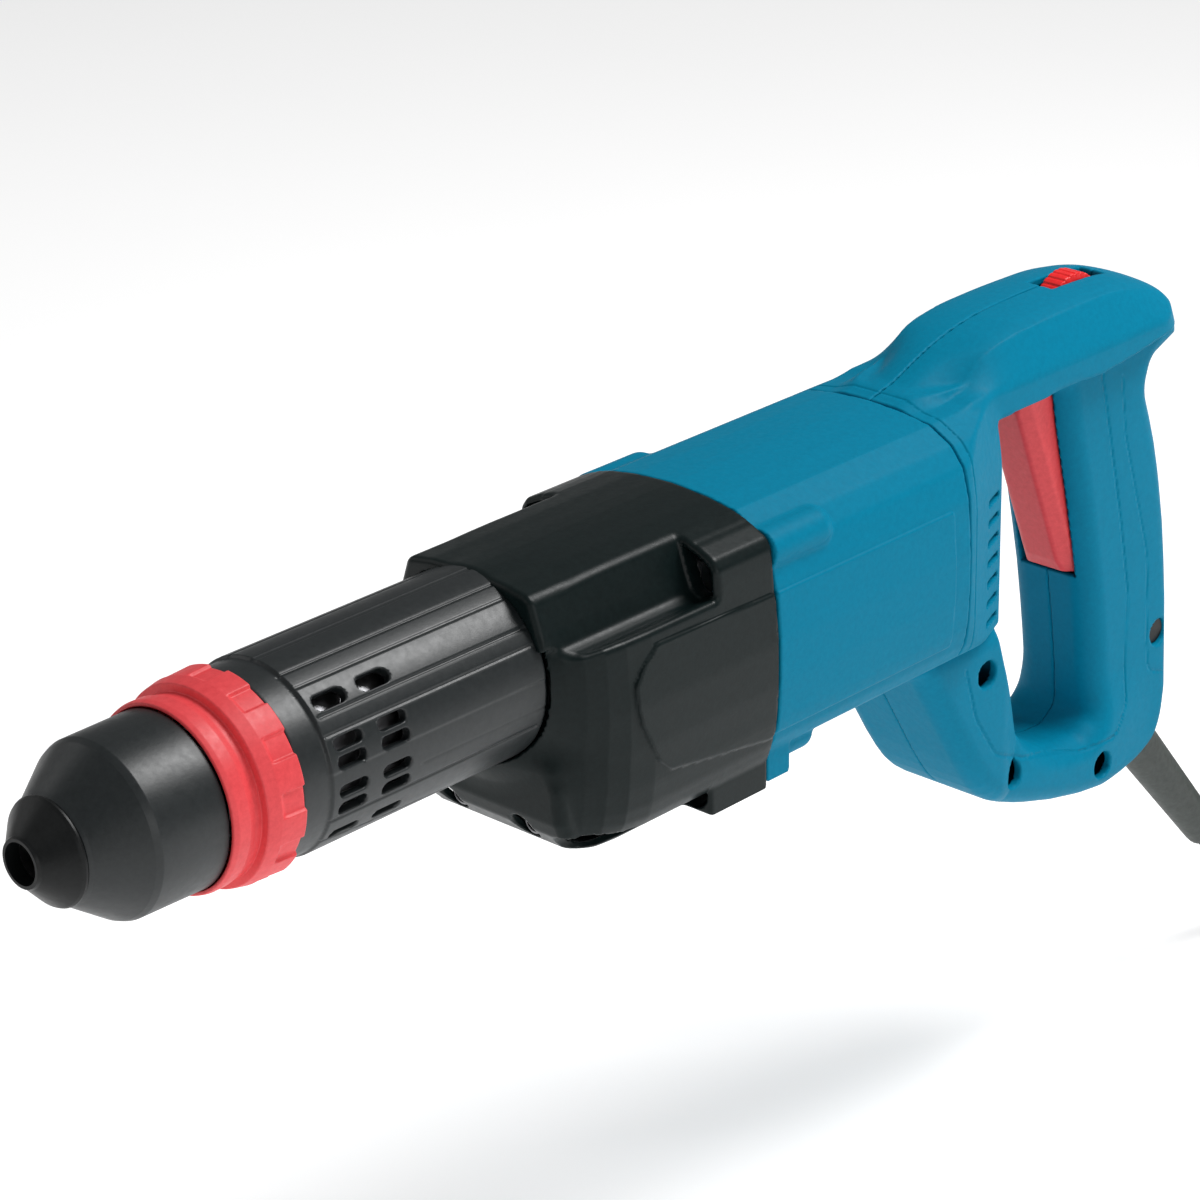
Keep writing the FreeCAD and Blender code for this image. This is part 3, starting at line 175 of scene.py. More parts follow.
def moulded(name, dark, light, rough, grain, specular):
    """Moulded plastic or rubber: cloudy colour, uneven gloss, spark-eroded grain."""
    material, tree, shader = new_material(name)
    tree.links.new(ramp(tree, noise(tree, 650.0, 6.0, 0.7), dark, light), shader.inputs["Base Color"])
    gloss = ramp(tree, noise(tree, 480.0, 5.0, 0.6), (rough[0],) * 3, (rough[1],) * 3)
    tree.links.new(gloss, shader.inputs["Roughness"])
    shader.inputs["Specular IOR Level"].default_value = specular
    bump(tree, shader, [(noise(tree, grain, 2.0), 0.55, GRAIN_DEPTH), (noise(tree, 90.0, 3.0), 0.3, GRAIN_DEPTH * 2.5)])
    return material


def metal(name, dark, light, rough, grain, stretch, depth):
    """Machined, cast or drawn metal: tone and gloss vary along the tool marks."""
    material, tree, shader = new_material(name)
    shader.inputs["Metallic"].default_value = 1.0
    tree.links.new(ramp(tree, noise(tree, 60.0, 5.0), dark, light), shader.inputs["Base Color"])
    marks = noise(tree, grain, 3.0, 0.6, stretch)
    tree.links.new(ramp(tree, marks, (rough[0],) * 3, (rough[1],) * 3), shader.inputs["Roughness"])
    bump(tree, shader, [(marks, 0.5, depth)])
    return material


def banded(name, dark, light, per_metre, rough, metallic):
    """Fine bands for stacked sheets, windings and segments."""
    material, tree, shader = new_material(name)
    coords = tree.nodes.new("ShaderNodeTexCoord")
    wave = tree.nodes.new("ShaderNodeTexWave")
    wave.inputs["Scale"].default_value = per_metre
    wave.inputs["Distortion"].default_value = 0.6
    wave.inputs["Detail"].default_value = 2.0
    tree.links.new(coords.outputs["Object"], wave.inputs["Vector"])
    shader.inputs["Metallic"].default_value = metallic
    tree.links.new(ramp(tree, wave.outputs["Fac"], dark, light), shader.inputs["Base Color"])
    gloss = ramp(tree, noise(tree, 300.0), (rough[0],) * 3, (rough[1],) * 3)
    tree.links.new(gloss, shader.inputs["Roughness"])
    bump(tree, shader, [(wave.outputs["Fac"], 0.6, 0.0001)])
    return material


# Moulded looks: dark and light colour, gloss range, grain in cycles per metre, specular level.
MOULDED = {
    "rubber_black": ((0.0035, 0.0042, 0.0044), (0.0075, 0.0088, 0.0092), (0.36, 0.44), 1400.0, 0.24),
    "plastic_black": ((0.0025, 0.0066, 0.0068), (0.0050, 0.0110, 0.0112), (0.31, 0.40), 1200.0, 0.17),
    # A lighter, glossier copy of plastic_black: painted highlight for the barrel cover and lock cover.
    "black_painted_highlight": ((0.008, 0.011, 0.012), (0.014, 0.018, 0.019), (0.36, 0.44), 1200.0, 0.46),
    "plastic_blue": ((0.0, 0.172, 0.290), (0.0, 0.202, 0.338), (0.46, 0.56), 1200.0, 0.06),
    "plastic_red": ((0.72, 0.052, 0.060), (0.84, 0.075, 0.085), (0.40, 0.52), 1300.0, 0.35),
    "plastic_dial": ((0.78, 0.012, 0.015), (0.90, 0.030, 0.030), (0.25, 0.38), 1500.0, 0.4),
    "plastic_grey": ((0.22, 0.22, 0.21), (0.33, 0.33, 0.32), (0.45, 0.6), 1100.0, 0.5),
    "fan_plastic": ((0.62, 0.59, 0.50), (0.74, 0.71, 0.62), (0.4, 0.55), 1100.0, 0.5),
    "rubber_seal": ((0.035, 0.030, 0.026), (0.06, 0.052, 0.045), (0.5, 0.65), 1100.0, 0.5),
    "carbon": ((0.02, 0.02, 0.021), (0.05, 0.05, 0.05), (0.5, 0.7), 1100.0, 0.5),
    "cord_rubber": ((0.022, 0.026, 0.024), (0.038, 0.043, 0.040), (0.5, 0.64), 1500.0, 0.3),
    "tie_rubber": ((0.02, 0.02, 0.02), (0.04, 0.04, 0.04), (0.5, 0.65), 1500.0, 0.5),
    "guard_rubber": ((0.034, 0.040, 0.036), (0.054, 0.062, 0.057), (0.48, 0.62), 1300.0, 0.3),
}
# Metal looks: dark and light colour, gloss range, grain, stretch of the tool marks, depth in metres.
EVEN = (1.0, 1.0, 1.0)
METALS = {
    "steel_dark": ((0.17, 0.17, 0.18), (0.30, 0.30, 0.31), (0.28, 0.45), 900.0, EVEN, 0.00001),
    "steel_bright": ((0.52, 0.52, 0.53), (0.68, 0.68, 0.69), (0.16, 0.32), 700.0, (0.05, 1.0, 1.0), 0.00001),
    "steel_zinc": ((0.55, 0.57, 0.58), (0.74, 0.75, 0.76), (0.25, 0.42), 400.0, EVEN, 0.00001),
    "aluminium_cast": ((0.50, 0.51, 0.52), (0.68, 0.69, 0.70), (0.42, 0.62), 1500.0, EVEN, 0.00006),
    "bronze": ((0.50, 0.30, 0.11), (0.68, 0.45, 0.20), (0.35, 0.5), 1800.0, EVEN, 0.00003),
}
# Banded looks: dark and light colour, bands per metre, gloss range, metallic share.
BANDED = {
    "spring_steel": ((0.20, 0.20, 0.21), (0.50, 0.50, 0.52), 90.0, (0.25, 0.4), 1.0),
    "copper": ((0.42, 0.12, 0.03), (0.80, 0.34, 0.13), 320.0, (0.22, 0.36), 0.9),
    "laminations": ((0.16, 0.16, 0.17), (0.30, 0.30, 0.31), 500.0, (0.35, 0.5), 0.9),
}
LOOKS = {name: moulded(name, *facts) for name, facts in MOULDED.items()}
LOOKS.update({name: metal(name, *facts) for name, facts in METALS.items()})
LOOKS.update({name: banded(name, *facts) for name, facts in BANDED.items()})
SHOWN_DARKER = {"handle_screws": "rubber_black", "cylinder_housing": "steel_dark"}

for part in frame["record"]["subparts"]:
    shown = nodes[part["node"]].data
    shown.materials.clear()
    shown.materials.append(LOOKS[SHOWN_DARKER.get(part["node"], part["material_slot"])])


# ---------------------------------------------------------------- cord

CORD_R = 0.004


def spline_curve(name, points, radius, look):
    """A round cord on one NURBS spline."""
    data = bpy.data.curves.new(name, "CURVE")
    data.dimensions = "3D"
    spline = data.splines.new("NURBS")
    spline.points.add(len(points) - 1)
    for point, place in zip(spline.points, points):
        point.co = (*place, 1.0)
    spline.order_u = 3
    spline.use_endpoint_u = True
    spline.resolution_u = 6
    data.bevel_depth = radius
    data.bevel_resolution = 5
    data.use_fill_caps = True
    data.materials.append(look)
    obj = bpy.data.objects.new(name, data)
    bpy.context.scene.collection.objects.link(obj)
    return obj


# The hank lies in line with the tool: loops on an outer and an inner track, stacked in layers.
HANK_X = -0.195
HALF_RUN = 0.030
TRACKS = [(0.033, 0), (0.025, 0), (0.025, 1), (0.033, 1), (0.033, 2), (0.025, 2), (0.025, 3), (0.033, 3)]
FIRST_LEVEL = -0.156


def hank_loop(number, last_share=1.0):
    """Points round one loop; each loop shifts to the next track earlier than the one it leaves room for."""
    radius, layer = TRACKS[number]
    next_radius, next_layer = TRACKS[min(number + 1, len(TRACKS) - 1)]
    shift_at = 0.93 - 0.1 * number
    points = []
    run = [(HANK_X + HALF_RUN * (1 - 2 * share), 1, None, share * 0.18) for share in (0.0, 0.35, 0.7, 1.0)]
    bend = [(HANK_X - HALF_RUN, 0, math.radians(90 + 30 * step), 0.18 + 0.32 * step / 6) for step in range(1, 6)]
    back = [(HANK_X - HALF_RUN * (1 - 2 * share), -1, None, 0.5 + share * 0.18) for share in (0.0, 0.35, 0.7, 1.0)]
    turn = [(HANK_X + HALF_RUN, 0, math.radians(270 + 30 * step), 0.68 + 0.32 * step / 6) for step in range(1, 6)]
    for x, side, angle, share in run + bend + back + turn:
        if share > last_share:
            break
        moved = min(max((share - shift_at) / 0.09, 0.0), 1.0)
        reach = radius + (next_radius - radius) * moved
        level = FIRST_LEVEL + CORD_R * 2 * (layer + (next_layer - layer) * moved)
        if angle is None:
            points.append((x, side * reach, level))
        else:
            reach /= math.cos(math.radians(15))
            points.append((x + reach * math.cos(angle), reach * math.sin(angle), level))
    return points


CORD_EXIT = (-0.05555, 0.0, -0.11077)
cord_points = [
    CORD_EXIT, (-0.0726, 0.0, -0.1306), (-0.0939, 0.005, -0.146), (-0.115, 0.017, -0.156), (-0.139, 0.030, -0.156),
]
for loop in range(7):
    cord_points += hank_loop(loop)
cord_points += hank_loop(7, 0.05)
cord_points += [
    (-0.191, 0.033, -0.132), (-0.209, 0.033, -0.125), (-0.231, 0.031, -0.1235), (-0.255, 0.022, -0.129),
    (-0.277, 0.008, -0.138), (-0.299, 0.0, -0.142),
]
cord = spline_curve("cord", cord_points, CORD_R, LOOKS["cord_rubber"])
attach(cord, "housing")
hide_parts("power_cord", "cord_coil", "cord_tail")


# ---------------------------------------------------------------- shaping tools

def meet(a, b, r=0.0):
    """Overlap of two signed distances, with the edge between them rounded."""
    return np.minimum(-r, np.maximum(a, b)) + np.hypot(np.maximum(a + r, 0), np.maximum(b + r, 0))


def join(a, b, r=0.0):
    return -meet(-a, -b, r)


def carve(a, b, r=0.0):
    return meet(a, -b, r)


def smooth(value):
    value = np.clip(value, 0, 1)
    return value * value * (3 - 2 * value)


def eased(x, at, values, spread=9):
    """Values along x with their corners eased over a few millimetres."""
    fine = np.arange(at[0] - 30, at[-1] + 30.5, 0.5)
    line = np.interp(fine, at, values)
    window = np.ones(2 * spread + 1) / (2 * spread + 1)
    for _ in range(2):
        line = np.convolve(np.pad(line, spread, "edge"), window, "valid")
    return np.interp(x, fine, line)


def both_sides(half):
    return half + [(-corner[0], *corner[1:]) for corner in reversed(half) if corner[0] > 0]


def rounded(corners, radius=0.0, closed=True):
    """Corners (a, b) or (a, b, radius) as points, each corner turned into an arc."""
    points = []
    count = len(corners)
    for index, corner in enumerate(corners):
        here = np.array(corner[:2], float)
        if not closed and index in (0, count - 1):
            points.append(here)
            continue
        turn = corner[2] if len(corner) > 2 else radius
        before = np.array(corners[index - 1][:2], float) - here
        after = np.array(corners[(index + 1) % count][:2], float) - here
        long_in, long_out = np.linalg.norm(before), np.linalg.norm(after)
        before, after = before / long_in, after / long_out
        half = math.acos(min(max(float(before @ after), -1.0), 1.0)) / 2
        if turn < 0.05 or half > 1.54:
            points.append(here)
            continue
        reach = min(turn / math.tan(half), 0.48 * min(long_in, long_out))
        turn = reach * math.tan(half)
        centre = here + (before + after) / np.linalg.norm(before + after) * turn / math.sin(half)
        start, end = here + before * reach - centre, here + after * reach - centre
        swing = math.pi - 2 * half
        steps = max(2, math.ceil(swing / 0.16))
        for step in range(steps + 1):
            share = step / steps
            points.append(centre + (start * math.sin((1 - share) * swing) + end * math.sin(share * swing))
                          / math.sin(swing))
    return np.array(points)


class Outline:
    """Signed distance to a plane outline, from a table; without closed, the plain distance to a line."""

    def __init__(self, corners, radius=0.0, cell=0.3, closed=True):
        points = rounded(corners, radius, closed)
        self.cell = cell * STEP
        self.low = points.min(0) - 6
        self.count = np.ceil((points.max(0) + 6 - self.low) / self.cell).astype(int) + 1
        a = self.low[0] + self.cell * np.arange(self.count[0])[:, None]
        b = self.low[1] + self.cell * np.arange(self.count[1])[None, :]
        nearest = np.full(self.count, 1e9)
        inside = np.zeros(self.count, bool)
        ends = np.roll(points, -1, axis=0)
        for (a0, b0), (a1, b1) in list(zip(points, ends))[:None if closed else -1]:
            da, db = a1 - a0, b1 - b0
            size = da * da + db * db
            if size < 1e-12:
                continue
            share = np.clip(((a - a0) * da + (b - b0) * db) / size, 0, 1)
            nearest = np.minimum(nearest, (a - a0 - share * da) ** 2 + (b - b0 - share * db) ** 2)
            if closed and b0 != b1:
                inside ^= ((b0 > b) != (b1 > b)) & (a < a0 + (b - b0) * da / db)
        self.table = np.sqrt(nearest) * np.where(inside, -1, 1)

    def __call__(self, a, b):
        u = (a - self.low[0]) / self.cell
        v = (b - self.low[1]) / self.cell
        near_u = np.clip(u, 0, self.count[0] - 1.001)
        near_v = np.clip(v, 0, self.count[1] - 1.001)
        i, j = near_u.astype(int), near_v.astype(int)
        p, q = near_u - i, near_v - j
        table = self.table
        value = ((1 - p) * ((1 - q) * table[i, j] + q * table[i, j + 1])
                 + p * ((1 - q) * table[i + 1, j] + q * table[i + 1, j + 1]))
        return value + self.cell * np.hypot(u - near_u, v - near_v)


def groove(distance, width, depth):
    """How far a V groove lowers a surface, from the distance to its line."""
    return depth * np.clip(1 - distance / width, 0, 1)


def finish_piece(name, mesh, body, hidden, slot, look=None):
    mesh.materials.append(look or LOOKS[slot])
    obj = bpy.data.objects.new(name, mesh)
    bpy.context.scene.collection.objects.link(obj)
    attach(obj, body)
    if hidden:
        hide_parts(*hidden)
    return obj


def slope_of(shape, points, reach):
    """Value and slope of a shape at points."""
    slope = np.zeros_like(points)
    value = np.zeros(len(points))
    for corner in ((1, 1, 1), (1, -1, -1), (-1, 1, -1), (-1, -1, 1)):
        corner = np.array(corner, float)
        here = shape(*(points + corner * reach).T)
        slope += corner * here[:, None]
        value += here
    return value / 4, slope / (4 * reach)


def sculpt(name, shape, low, high, voxel, body, hidden, slot, look=None):
    """Mesh the zero level of a shape inside a box, and stand it in for CAD nodes."""
    voxel = voxel * STEP
    low = np.array(low, float) - 2.3 * voxel
    blocks = np.ceil((np.array(high, float) + 2.3 * voxel - low) / (8 * voxel)).astype(int)
    field = np.full(blocks * 8, 4 * voxel, np.float32)
    corners = np.stack(np.meshgrid(*[np.arange(count) * 8 for count in blocks], indexing="ij"), -1).reshape(-1, 3)
    for size in (8, 4, 2):
        middle = low + (corners + (size - 1) / 2) * voxel
        value = shape(*middle.T)
        near = np.abs(value) < 1.5 * voxel * size
        offsets = np.stack(np.meshgrid(*[np.arange(size)] * 3, indexing="ij"), -1).reshape(-1, 3)
        deep = corners[~near & (value < 0)]
        if len(deep):
            cells = (deep[:, None, :] + offsets[None]).reshape(-1, 3)
            field[cells[:, 0], cells[:, 1], cells[:, 2]] = -4 * voxel
        halves = offsets[:8] if size == 2 else np.stack(
            np.meshgrid(*[(0, size // 2)] * 3, indexing="ij"), -1).reshape(-1, 3)
        corners = (corners[near][:, None, :] + halves[None]).reshape(-1, 3)
    field[corners[:, 0], corners[:, 1], corners[:, 2]] = shape(*(low + corners * voxel).T)
    grid = openvdb.FloatGrid(4 * voxel)
    grid.copyFromArray(field)
    points, quads = grid.convertToQuads()
    points = low + np.asarray(points, float) * voxel
    quads = np.asarray(quads, np.int64)
    for _ in range(3):
        value, slope = slope_of(shape, points, 0.12)
        size = np.maximum((slope ** 2).sum(1), 0.25)
        step = np.clip(value / size, -0.7 * voxel, 0.7 * voxel)
        points -= step[:, None] * slope
    _, slope = slope_of(shape, points, 0.22)
    normals = slope / np.maximum(np.linalg.norm(slope, axis=1), 1e-9)[:, None]
    across = np.cross(points[quads[:, 2]] - points[quads[:, 0]], points[quads[:, 3]] - points[quads[:, 1]])
    if (across * normals[quads[:, 0]]).sum() < 0:
        quads = quads[:, ::-1]
    mesh = bpy.data.meshes.new(name)
    mesh.from_pydata(to_row(points).tolist(), [], quads.tolist())
    mesh.polygons.foreach_set("use_smooth", [True] * len(mesh.polygons))
    mesh.normals_split_custom_set_from_vertices((normals * (-1, -1, 1)).tolist())
    mesh.update()
    return finish_piece(name, mesh, body, hidden, slot, look)


def turned(name, profile, body, hidden, slot, look=None, radius=0.3, around=180, fine=None, shift=None, place=None):
    """A closed (x, r) profile turned about x. shift changes the radius by place and angle; place moves points."""
    outline = rounded(profile, radius)
    if fine:
        dense = []
        for start, end in zip(outline, np.roll(outline, -1, axis=0)):
            steps = max(1, math.ceil(np.linalg.norm(end - start) / fine))
            dense += [start + (end - start) * step / steps for step in range(steps)]
        outline = np.array(dense)
    around = int(around / STEP) // 12 * 12
    angle = 2 * np.pi * np.arange(around) / around
    x = np.repeat(outline[:, 0], around)
    r = np.repeat(outline[:, 1], around)
    angle = np.tile(angle, len(outline))
    if shift is not None:
        r = r + shift(x, r, angle)
    points = np.stack([x, -r * np.sin(angle), r * np.cos(angle)], -1)
    if place is not None:
        points = place(points)
    rows = np.arange(len(outline))[:, None] * around
    next_rows = np.roll(rows, -1)
    column = np.arange(around)[None, :]
    next_column = np.roll(column, -1)
    quads = np.stack([rows + column, rows + next_column, next_rows + next_column, next_rows + column], -1)
    quads = quads.reshape(-1, 4)
    mesh = bpy.data.meshes.new(name)
    mesh.from_pydata(to_row(points).tolist(), [], quads.tolist())
    work = bmesh.new()
    work.from_mesh(mesh)
    bmesh.ops.remove_doubles(work, verts=work.verts, dist=1e-7)
    bmesh.ops.dissolve_degenerate(work, edges=work.edges, dist=1e-8)
    bmesh.ops.recalc_face_normals(work, faces=work.faces)
    work.to_mesh(mesh)
    work.free()
    mesh.polygons.foreach_set("use_smooth", [True] * len(mesh.polygons))
    mesh.set_sharp_from_angle(angle=math.radians(38))
    return finish_piece(name, mesh, body, hidden, slot, look)


# ---------------------------------------------------------------- chuck

turned("dust_cap_skin", [
    (0.0, 5.1, 0.0), (0.0, 5.95, 0.15), (0.9, 6.3, 0.8), (6.9, 12.7, 0.5), (7.6, 13.1, 0.2), (8.3, 13.1, 0.2),
    (8.3, 8.6), (15.4, 8.6), (15.4, 5.1),
], "chuck", ["dust_cap"], "rubber_black", radius=0.2)
COVER_FRONT = 8.5
# The lock cover wears the lighter copy of the black plastic, a painted highlight.
turned("lock_cover_skin", [
    (COVER_FRONT, 11.2), (COVER_FRONT, 12.8, 0.4), (9.6, 13.4, 0.6), (20.6, 20.9, 0.7), (22.3, 21.6, 1.2),
    (41.4, 21.8, 0.3), (41.4, 19.8), (22.2, 19.8, 2.0), (16.6, 16.2), (12.2, 11.2),
], "lock_cover", ["chuck_cover"], "plastic_black", look=LOOKS["black_painted_highlight"], radius=0.3)


def ring_pads(x, r, angle):
    """Twelve raised pads round the change ring."""
    turn = np.degrees(angle) - 2.4
    turn = turn - 30 * np.floor(turn / 30)
    raised = smooth((turn + 0.2) / 1.6) * smooth((18.4 - turn) / 1.6)
    raised = raised + smooth((turn - 29.8) / 1.6) * smooth((48.4 - turn) / 1.6)
    along = smooth((x - 54.0) / 1.3)
    outer = smooth((r - 22.6) / 0.4)
    return -0.85 * (1 - raised) * along * outer


turned("change_ring_skin", [
    (41.6, 21.98), (41.6, 22.9, 0.4), (43.0, 23.25, 1.5), (46.2, 23.2, 1.0), (48.2, 22.6, 2.0), (50.2, 22.6, 0.3),
    (50.4, 24.6, 0.5), (53.9, 25.3, 1.0), (61.3, 25.7, 0.5), (61.3, 17.2), (57.4, 17.2), (57.4, 21.98),
], "change_ring", ["change_ring"], "plastic_red", radius=0.3, around=720, fine=0.5, shift=ring_pads)


def coil_spring(name, node, wire, turns, body, slot):
    """A closed-ended coil spring that fills a CAD tube's space along x."""
    low, high = (np.array(corner) * 1000 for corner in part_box(node))
    ring_r = (high[1] - low[1]) / 2 - wire
    share = np.linspace(0, 1, turns * 40)
    angle = 2 * np.pi * turns * share
    along = low[0] + wire + (high[0] - low[0] - 2 * wire) * smooth(0.12 + 0.76 * share)
    along = low[0] + wire + (high[0] - low[0] - 2 * wire) * (along - along[0]) / (along[-1] - along[0])
    around = 2 * np.pi * np.arange(12) / 12
    reach = ring_r + wire * np.cos(around)[None, :]
    points = np.stack(np.broadcast_arrays(
        along[:, None] + wire * np.sin(around)[None, :],
        reach * np.cos(angle)[:, None],
        reach * np.sin(angle)[:, None] + (low[2] + high[2]) / 2,
    ), -1).reshape(-1, 3) / 1000
    rows = np.arange(len(share) - 1)[:, None] * 12
    column = np.arange(12)[None, :]
    after = (column + 1) % 12
    quads = np.stack([rows + column, rows + after, rows + 12 + after, rows + 12 + column], -1).reshape(-1, 4).tolist()
    mesh = bpy.data.meshes.new(name)
    mesh.from_pydata(points.tolist(), [], quads + [list(range(12))[::-1], list(range(len(points) - 12, len(points)))])
    work = bmesh.new()
    work.from_mesh(mesh)
    bmesh.ops.recalc_face_normals(work, faces=work.faces)
    work.to_mesh(mesh)
    work.free()
    mesh.polygons.foreach_set("use_smooth", [True] * len(mesh.polygons))
    mesh.set_sharp_from_angle(angle=math.radians(50))
    return finish_piece(name, mesh, body, [node], slot)


# The lock cover's spring gets a mesh of its own. On the tool it shortens by the cover's 8 mm way.
chuck_spring = coil_spring("chuck_spring_skin", "chuck_spring", 1.05, 5, "chuck", "spring_steel")
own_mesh(chuck_spring)


# ---------------------------------------------------------------- barrel cover

BARREL_LINES = [(20.0, 69.5, 139.6, 0.5), (31.4, 70.0, 139.6, 0.3), (51.5, 71.4, 138.6, 0.5), (62.0, 70.6, 138.0, 0.45),
                (111.5, 70.0, 138.0, 0.45)]
BARREL_VENTS = [(x, turn) for turn in (44.0, 68.0, 78.5, 95.0, 106.0, 126.0) for x in (77.0, 90.7)]


def barrel_shape(x, y, z):
    r = np.hypot(y, z)
    turn = np.degrees(np.arctan2(np.abs(y), z))
    step = smooth((x - 69.7) / 1.0)
    outer = 23.9 + 0.55 * step
    edge = smooth((turn - 1.0) / 1.2) * smooth((83.3 - turn) / 1.6)
    outer = outer + 0.25 * step * edge
    for at, start, end, depth in BARREL_LINES:
        along = smooth((x - start) / 0.8) * smooth((end - x) / 0.8)
        outer = outer - groove(np.abs(turn - at) * 0.43, 0.55, depth) * along
    slant = 128 + (x - 70) * 18 / 68
    outer = outer - groove(np.abs(turn - slant) * 0.43, 0.5, 0.4) * step
    outer = outer - groove(np.abs(turn - 100) * 0.43, 0.45, 0.25) * smooth((x - 98) / 1.0)
    d = meet(r - outer, np.abs(x - 100.85) - 39.1, 0.5)
    d = carve(d, r - 21.8)
    for at, angle in BARREL_VENTS:
        c, s = math.cos(math.radians(angle)), math.sin(math.radians(angle))
        across = np.abs(y) * c - z * s
        slot = np.hypot(np.maximum(np.abs(x - at) - 2.9, 0), across) - (1.9 if angle < 60 else 1.5)
        slot = np.maximum(slot, 12 - (np.abs(y) * s + z * c))
        d = carve(d, slot, 0.35)
    return d


# The barrel cover wears the lighter copy of the black plastic, a painted highlight.
sculpt("barrel_cover_skin", barrel_shape, (61.5, -25.5, -25.5), (140.5, 25.5, 25.5), 0.62, "housing", ["barrel_cover"],
       "plastic_black", look=LOOKS["black_painted_highlight"])


# ---------------------------------------------------------------- gear housing

case_section = Outline(both_sides([
    (0, 24.8, 60), (12.6, 23.9, 20), (20.4, 22.6, 0.8), (26.8, 20.8, 6), (31.3, 18.6, 3), (33.0, 16.1, 3),
    (33.4, 12, 8), (34.0, 4, 30), (35.1, -9, 30), (35.1, -20, 30), (34.3, -30.5, 20), (33.0, -36.5, 6),
    (31.3, -39.8, 4), (27.0, -43, 2), (0, -43.4),
]))
trough = Outline([
    (20.5, 22.8, 0.6), (23.6, 13.6, 5), (25.4, 9.4, 3), (28.5, 7.8, 3), (31.5, 8.8, 3), (33.8, 9.3, 1), (40, 9.3),
    (40, 40), (20.5, 40),
])
side_panel = Outline([
    (211.5, 4.5), (168, 5.5), (163.3, 1.7), (159.6, -3), (160, -9), (161.2, -13.6), (167.3, -25.4), (171.9, -29.1),
    (211.5, -35),
], 2.0)
belly_side = Outline([
    (140, -20), (140.5, -36), (142, -40), (148, -46), (158, -51), (170, -53.9), (196, -54.4), (204, -53), (211.2, -48),
    (211.2, -20),
], 3.0)
belly_front = Outline(both_sides([(21, -15), (26.8, -27, 8), (28, -42, 3), (20.5, -50.5, 4), (15, -54.6, 4)]))


def case_shape(x, y, z):
    side = np.abs(y)
    section = case_section(y, z)
    full = np.interp(x, [139.7, 143, 147, 152, 158, 166], [0, 0.30, 0.61, 0.83, 0.95, 1.0])
    d = (1 - full) * (np.hypot(y, z) - 24.9) + full * section
    d = meet(d, 139.7 - x, 1.0)
    slab = meet(meet(section, side - 25.4, 1.2), 138.4 - x, 1.6)
    d = join(d, np.maximum(slab, 9.6 - z), 0.8)
    panel = meet(meet(section - 0.55, side_panel(x, z), 0.5), 25 - side)
    d = join(d, panel, 0.2)
    belly = meet(belly_side(x, z), belly_front(y, z), 3.0)
    d = join(d, belly, 9.0)
    lug = meet(meet(np.maximum(np.abs(side - 25.7) - 5.8, np.abs(z + 44.5) - 5.4), 189.8 - x, 1.0), x - 211.2, 0.4)
    d = join(d, lug, 0.8)
    hollow = np.maximum(np.maximum(d + 2.4, 144 - x), 2.4 - trough(side, z) - 100 * smooth((x - 194) / 4))
    mouth = trough(side, z)
    d = carve(d, meet(mouth, x - 190.4, 1.0), 2.0)
    behind = np.maximum(np.maximum(mouth + 0.5, section + 1.9), np.maximum(x - 199, 186 - x))
    d = carve(d, behind, 0.4)
    d = carve(d, np.maximum(np.hypot(side - 25.5, z + 44.5) - 4.6, x - 199), 0.5)
    d = carve(d, np.maximum(np.hypot(side - 12.3, z + 41) - 3.7, x - 150), 0.5)
    mouth_r = 24.72 - 0.9 * smooth((15 - side) / 4) * (z > 0)
    d = carve(d, np.maximum(np.hypot(y, z) - mouth_r, x - 143.6))
    d = carve(d, hollow)
    return meet(d, x - 211.3, 0.45)


sculpt("gear_housing_skin", case_shape, (138, -36, -55), (211.6, 36, 26), 0.75, "housing", ["gear_housing"],
       "plastic_black")


inner_section = Outline(both_sides([(14, 20.6), (22.4, 14), (22.4, -38), (14.5, -51.2)]))


def inner_case_shape(x, y, z):
    outer = np.maximum(inner_section(y, z), np.abs(x - 172.5) - 24.5)
    outer = np.maximum(outer, belly_side(x, np.minimum(z, -30)) + 3.2)
    d = carve(outer, outer + 1.0)
    return carve(d, np.maximum(np.hypot(y, z) - 20.2, x - 152))


sculpt("gear_case_skin", inner_case_shape, (147, -23, -52), (198, 23, 21), 1.1, "housing", ["gear_case"],
       "aluminium_cast")
for side in (1, -1):
    turned("front_screw_left" if side < 0 else "front_screw_right", [
        (146.5, 0), (146.5, 1.6), (148.2, 1.8), (148.2, 2.2), (146.4, 2.6), (146.8, 3.4), (149.6, 3.5), (149.6, 2),
        (156, 2), (156, 0),
    ], "housing", ["front_screws"] if side > 0 else [], "steel_zinc", look=LOOKS["steel_dark"], around=48,
        place=lambda points, side=side: points + (0, 12.3 * side, -41))


# ---------------------------------------------------------------- motor housing

motor_section = Outline(both_sides([
    (0, 24.8, 60), (12.6, 23.9, 20), (20.5, 22.6, 1.0), (27.5, 18.8, 5), (31.8, 13.5, 5), (34.0, 5, 12), (35.0, -9, 30),
    (35.0, -20, 30), (34.3, -30.5, 20), (33.0, -36.5, 6), (31.3, -39.8, 4), (27.0, -43, 2), (20, -44.5, 6), (0, -44.5),
]))
motor_panel = Outline([(205, 4.4), (282, 4.4), (282, -34), (205, -34)], 1.5)


def motor_shape(x, y, z):
    side = np.abs(y)
    section = motor_section(y, z)
    panel = meet(meet(section - 0.6, motor_panel(x, z), 0.5), 25 - side)
    d = join(section, panel, 0.2)
    upper = np.hypot(np.hypot(side - 28.6, z - 14), np.maximum(x - 231, 0)) - 5.5
    d = join(d, upper, 0.8)
    block = meet(np.maximum(np.abs(side - 25.5) - 5.6, np.abs(z + 43) - 5.5), x - 221, 1.2)
    d = join(d, block, 0.8)
    lower = np.hypot(np.hypot(side - 25.5, z + 42.2), np.maximum(x - 229, 0)) - 4.4
    d = join(d, lower, 0.8)
    d = meet(meet(d, 211.75 - x, 0.45), x - 288.75, 0.5)
    return carve(d, section + 2.4)


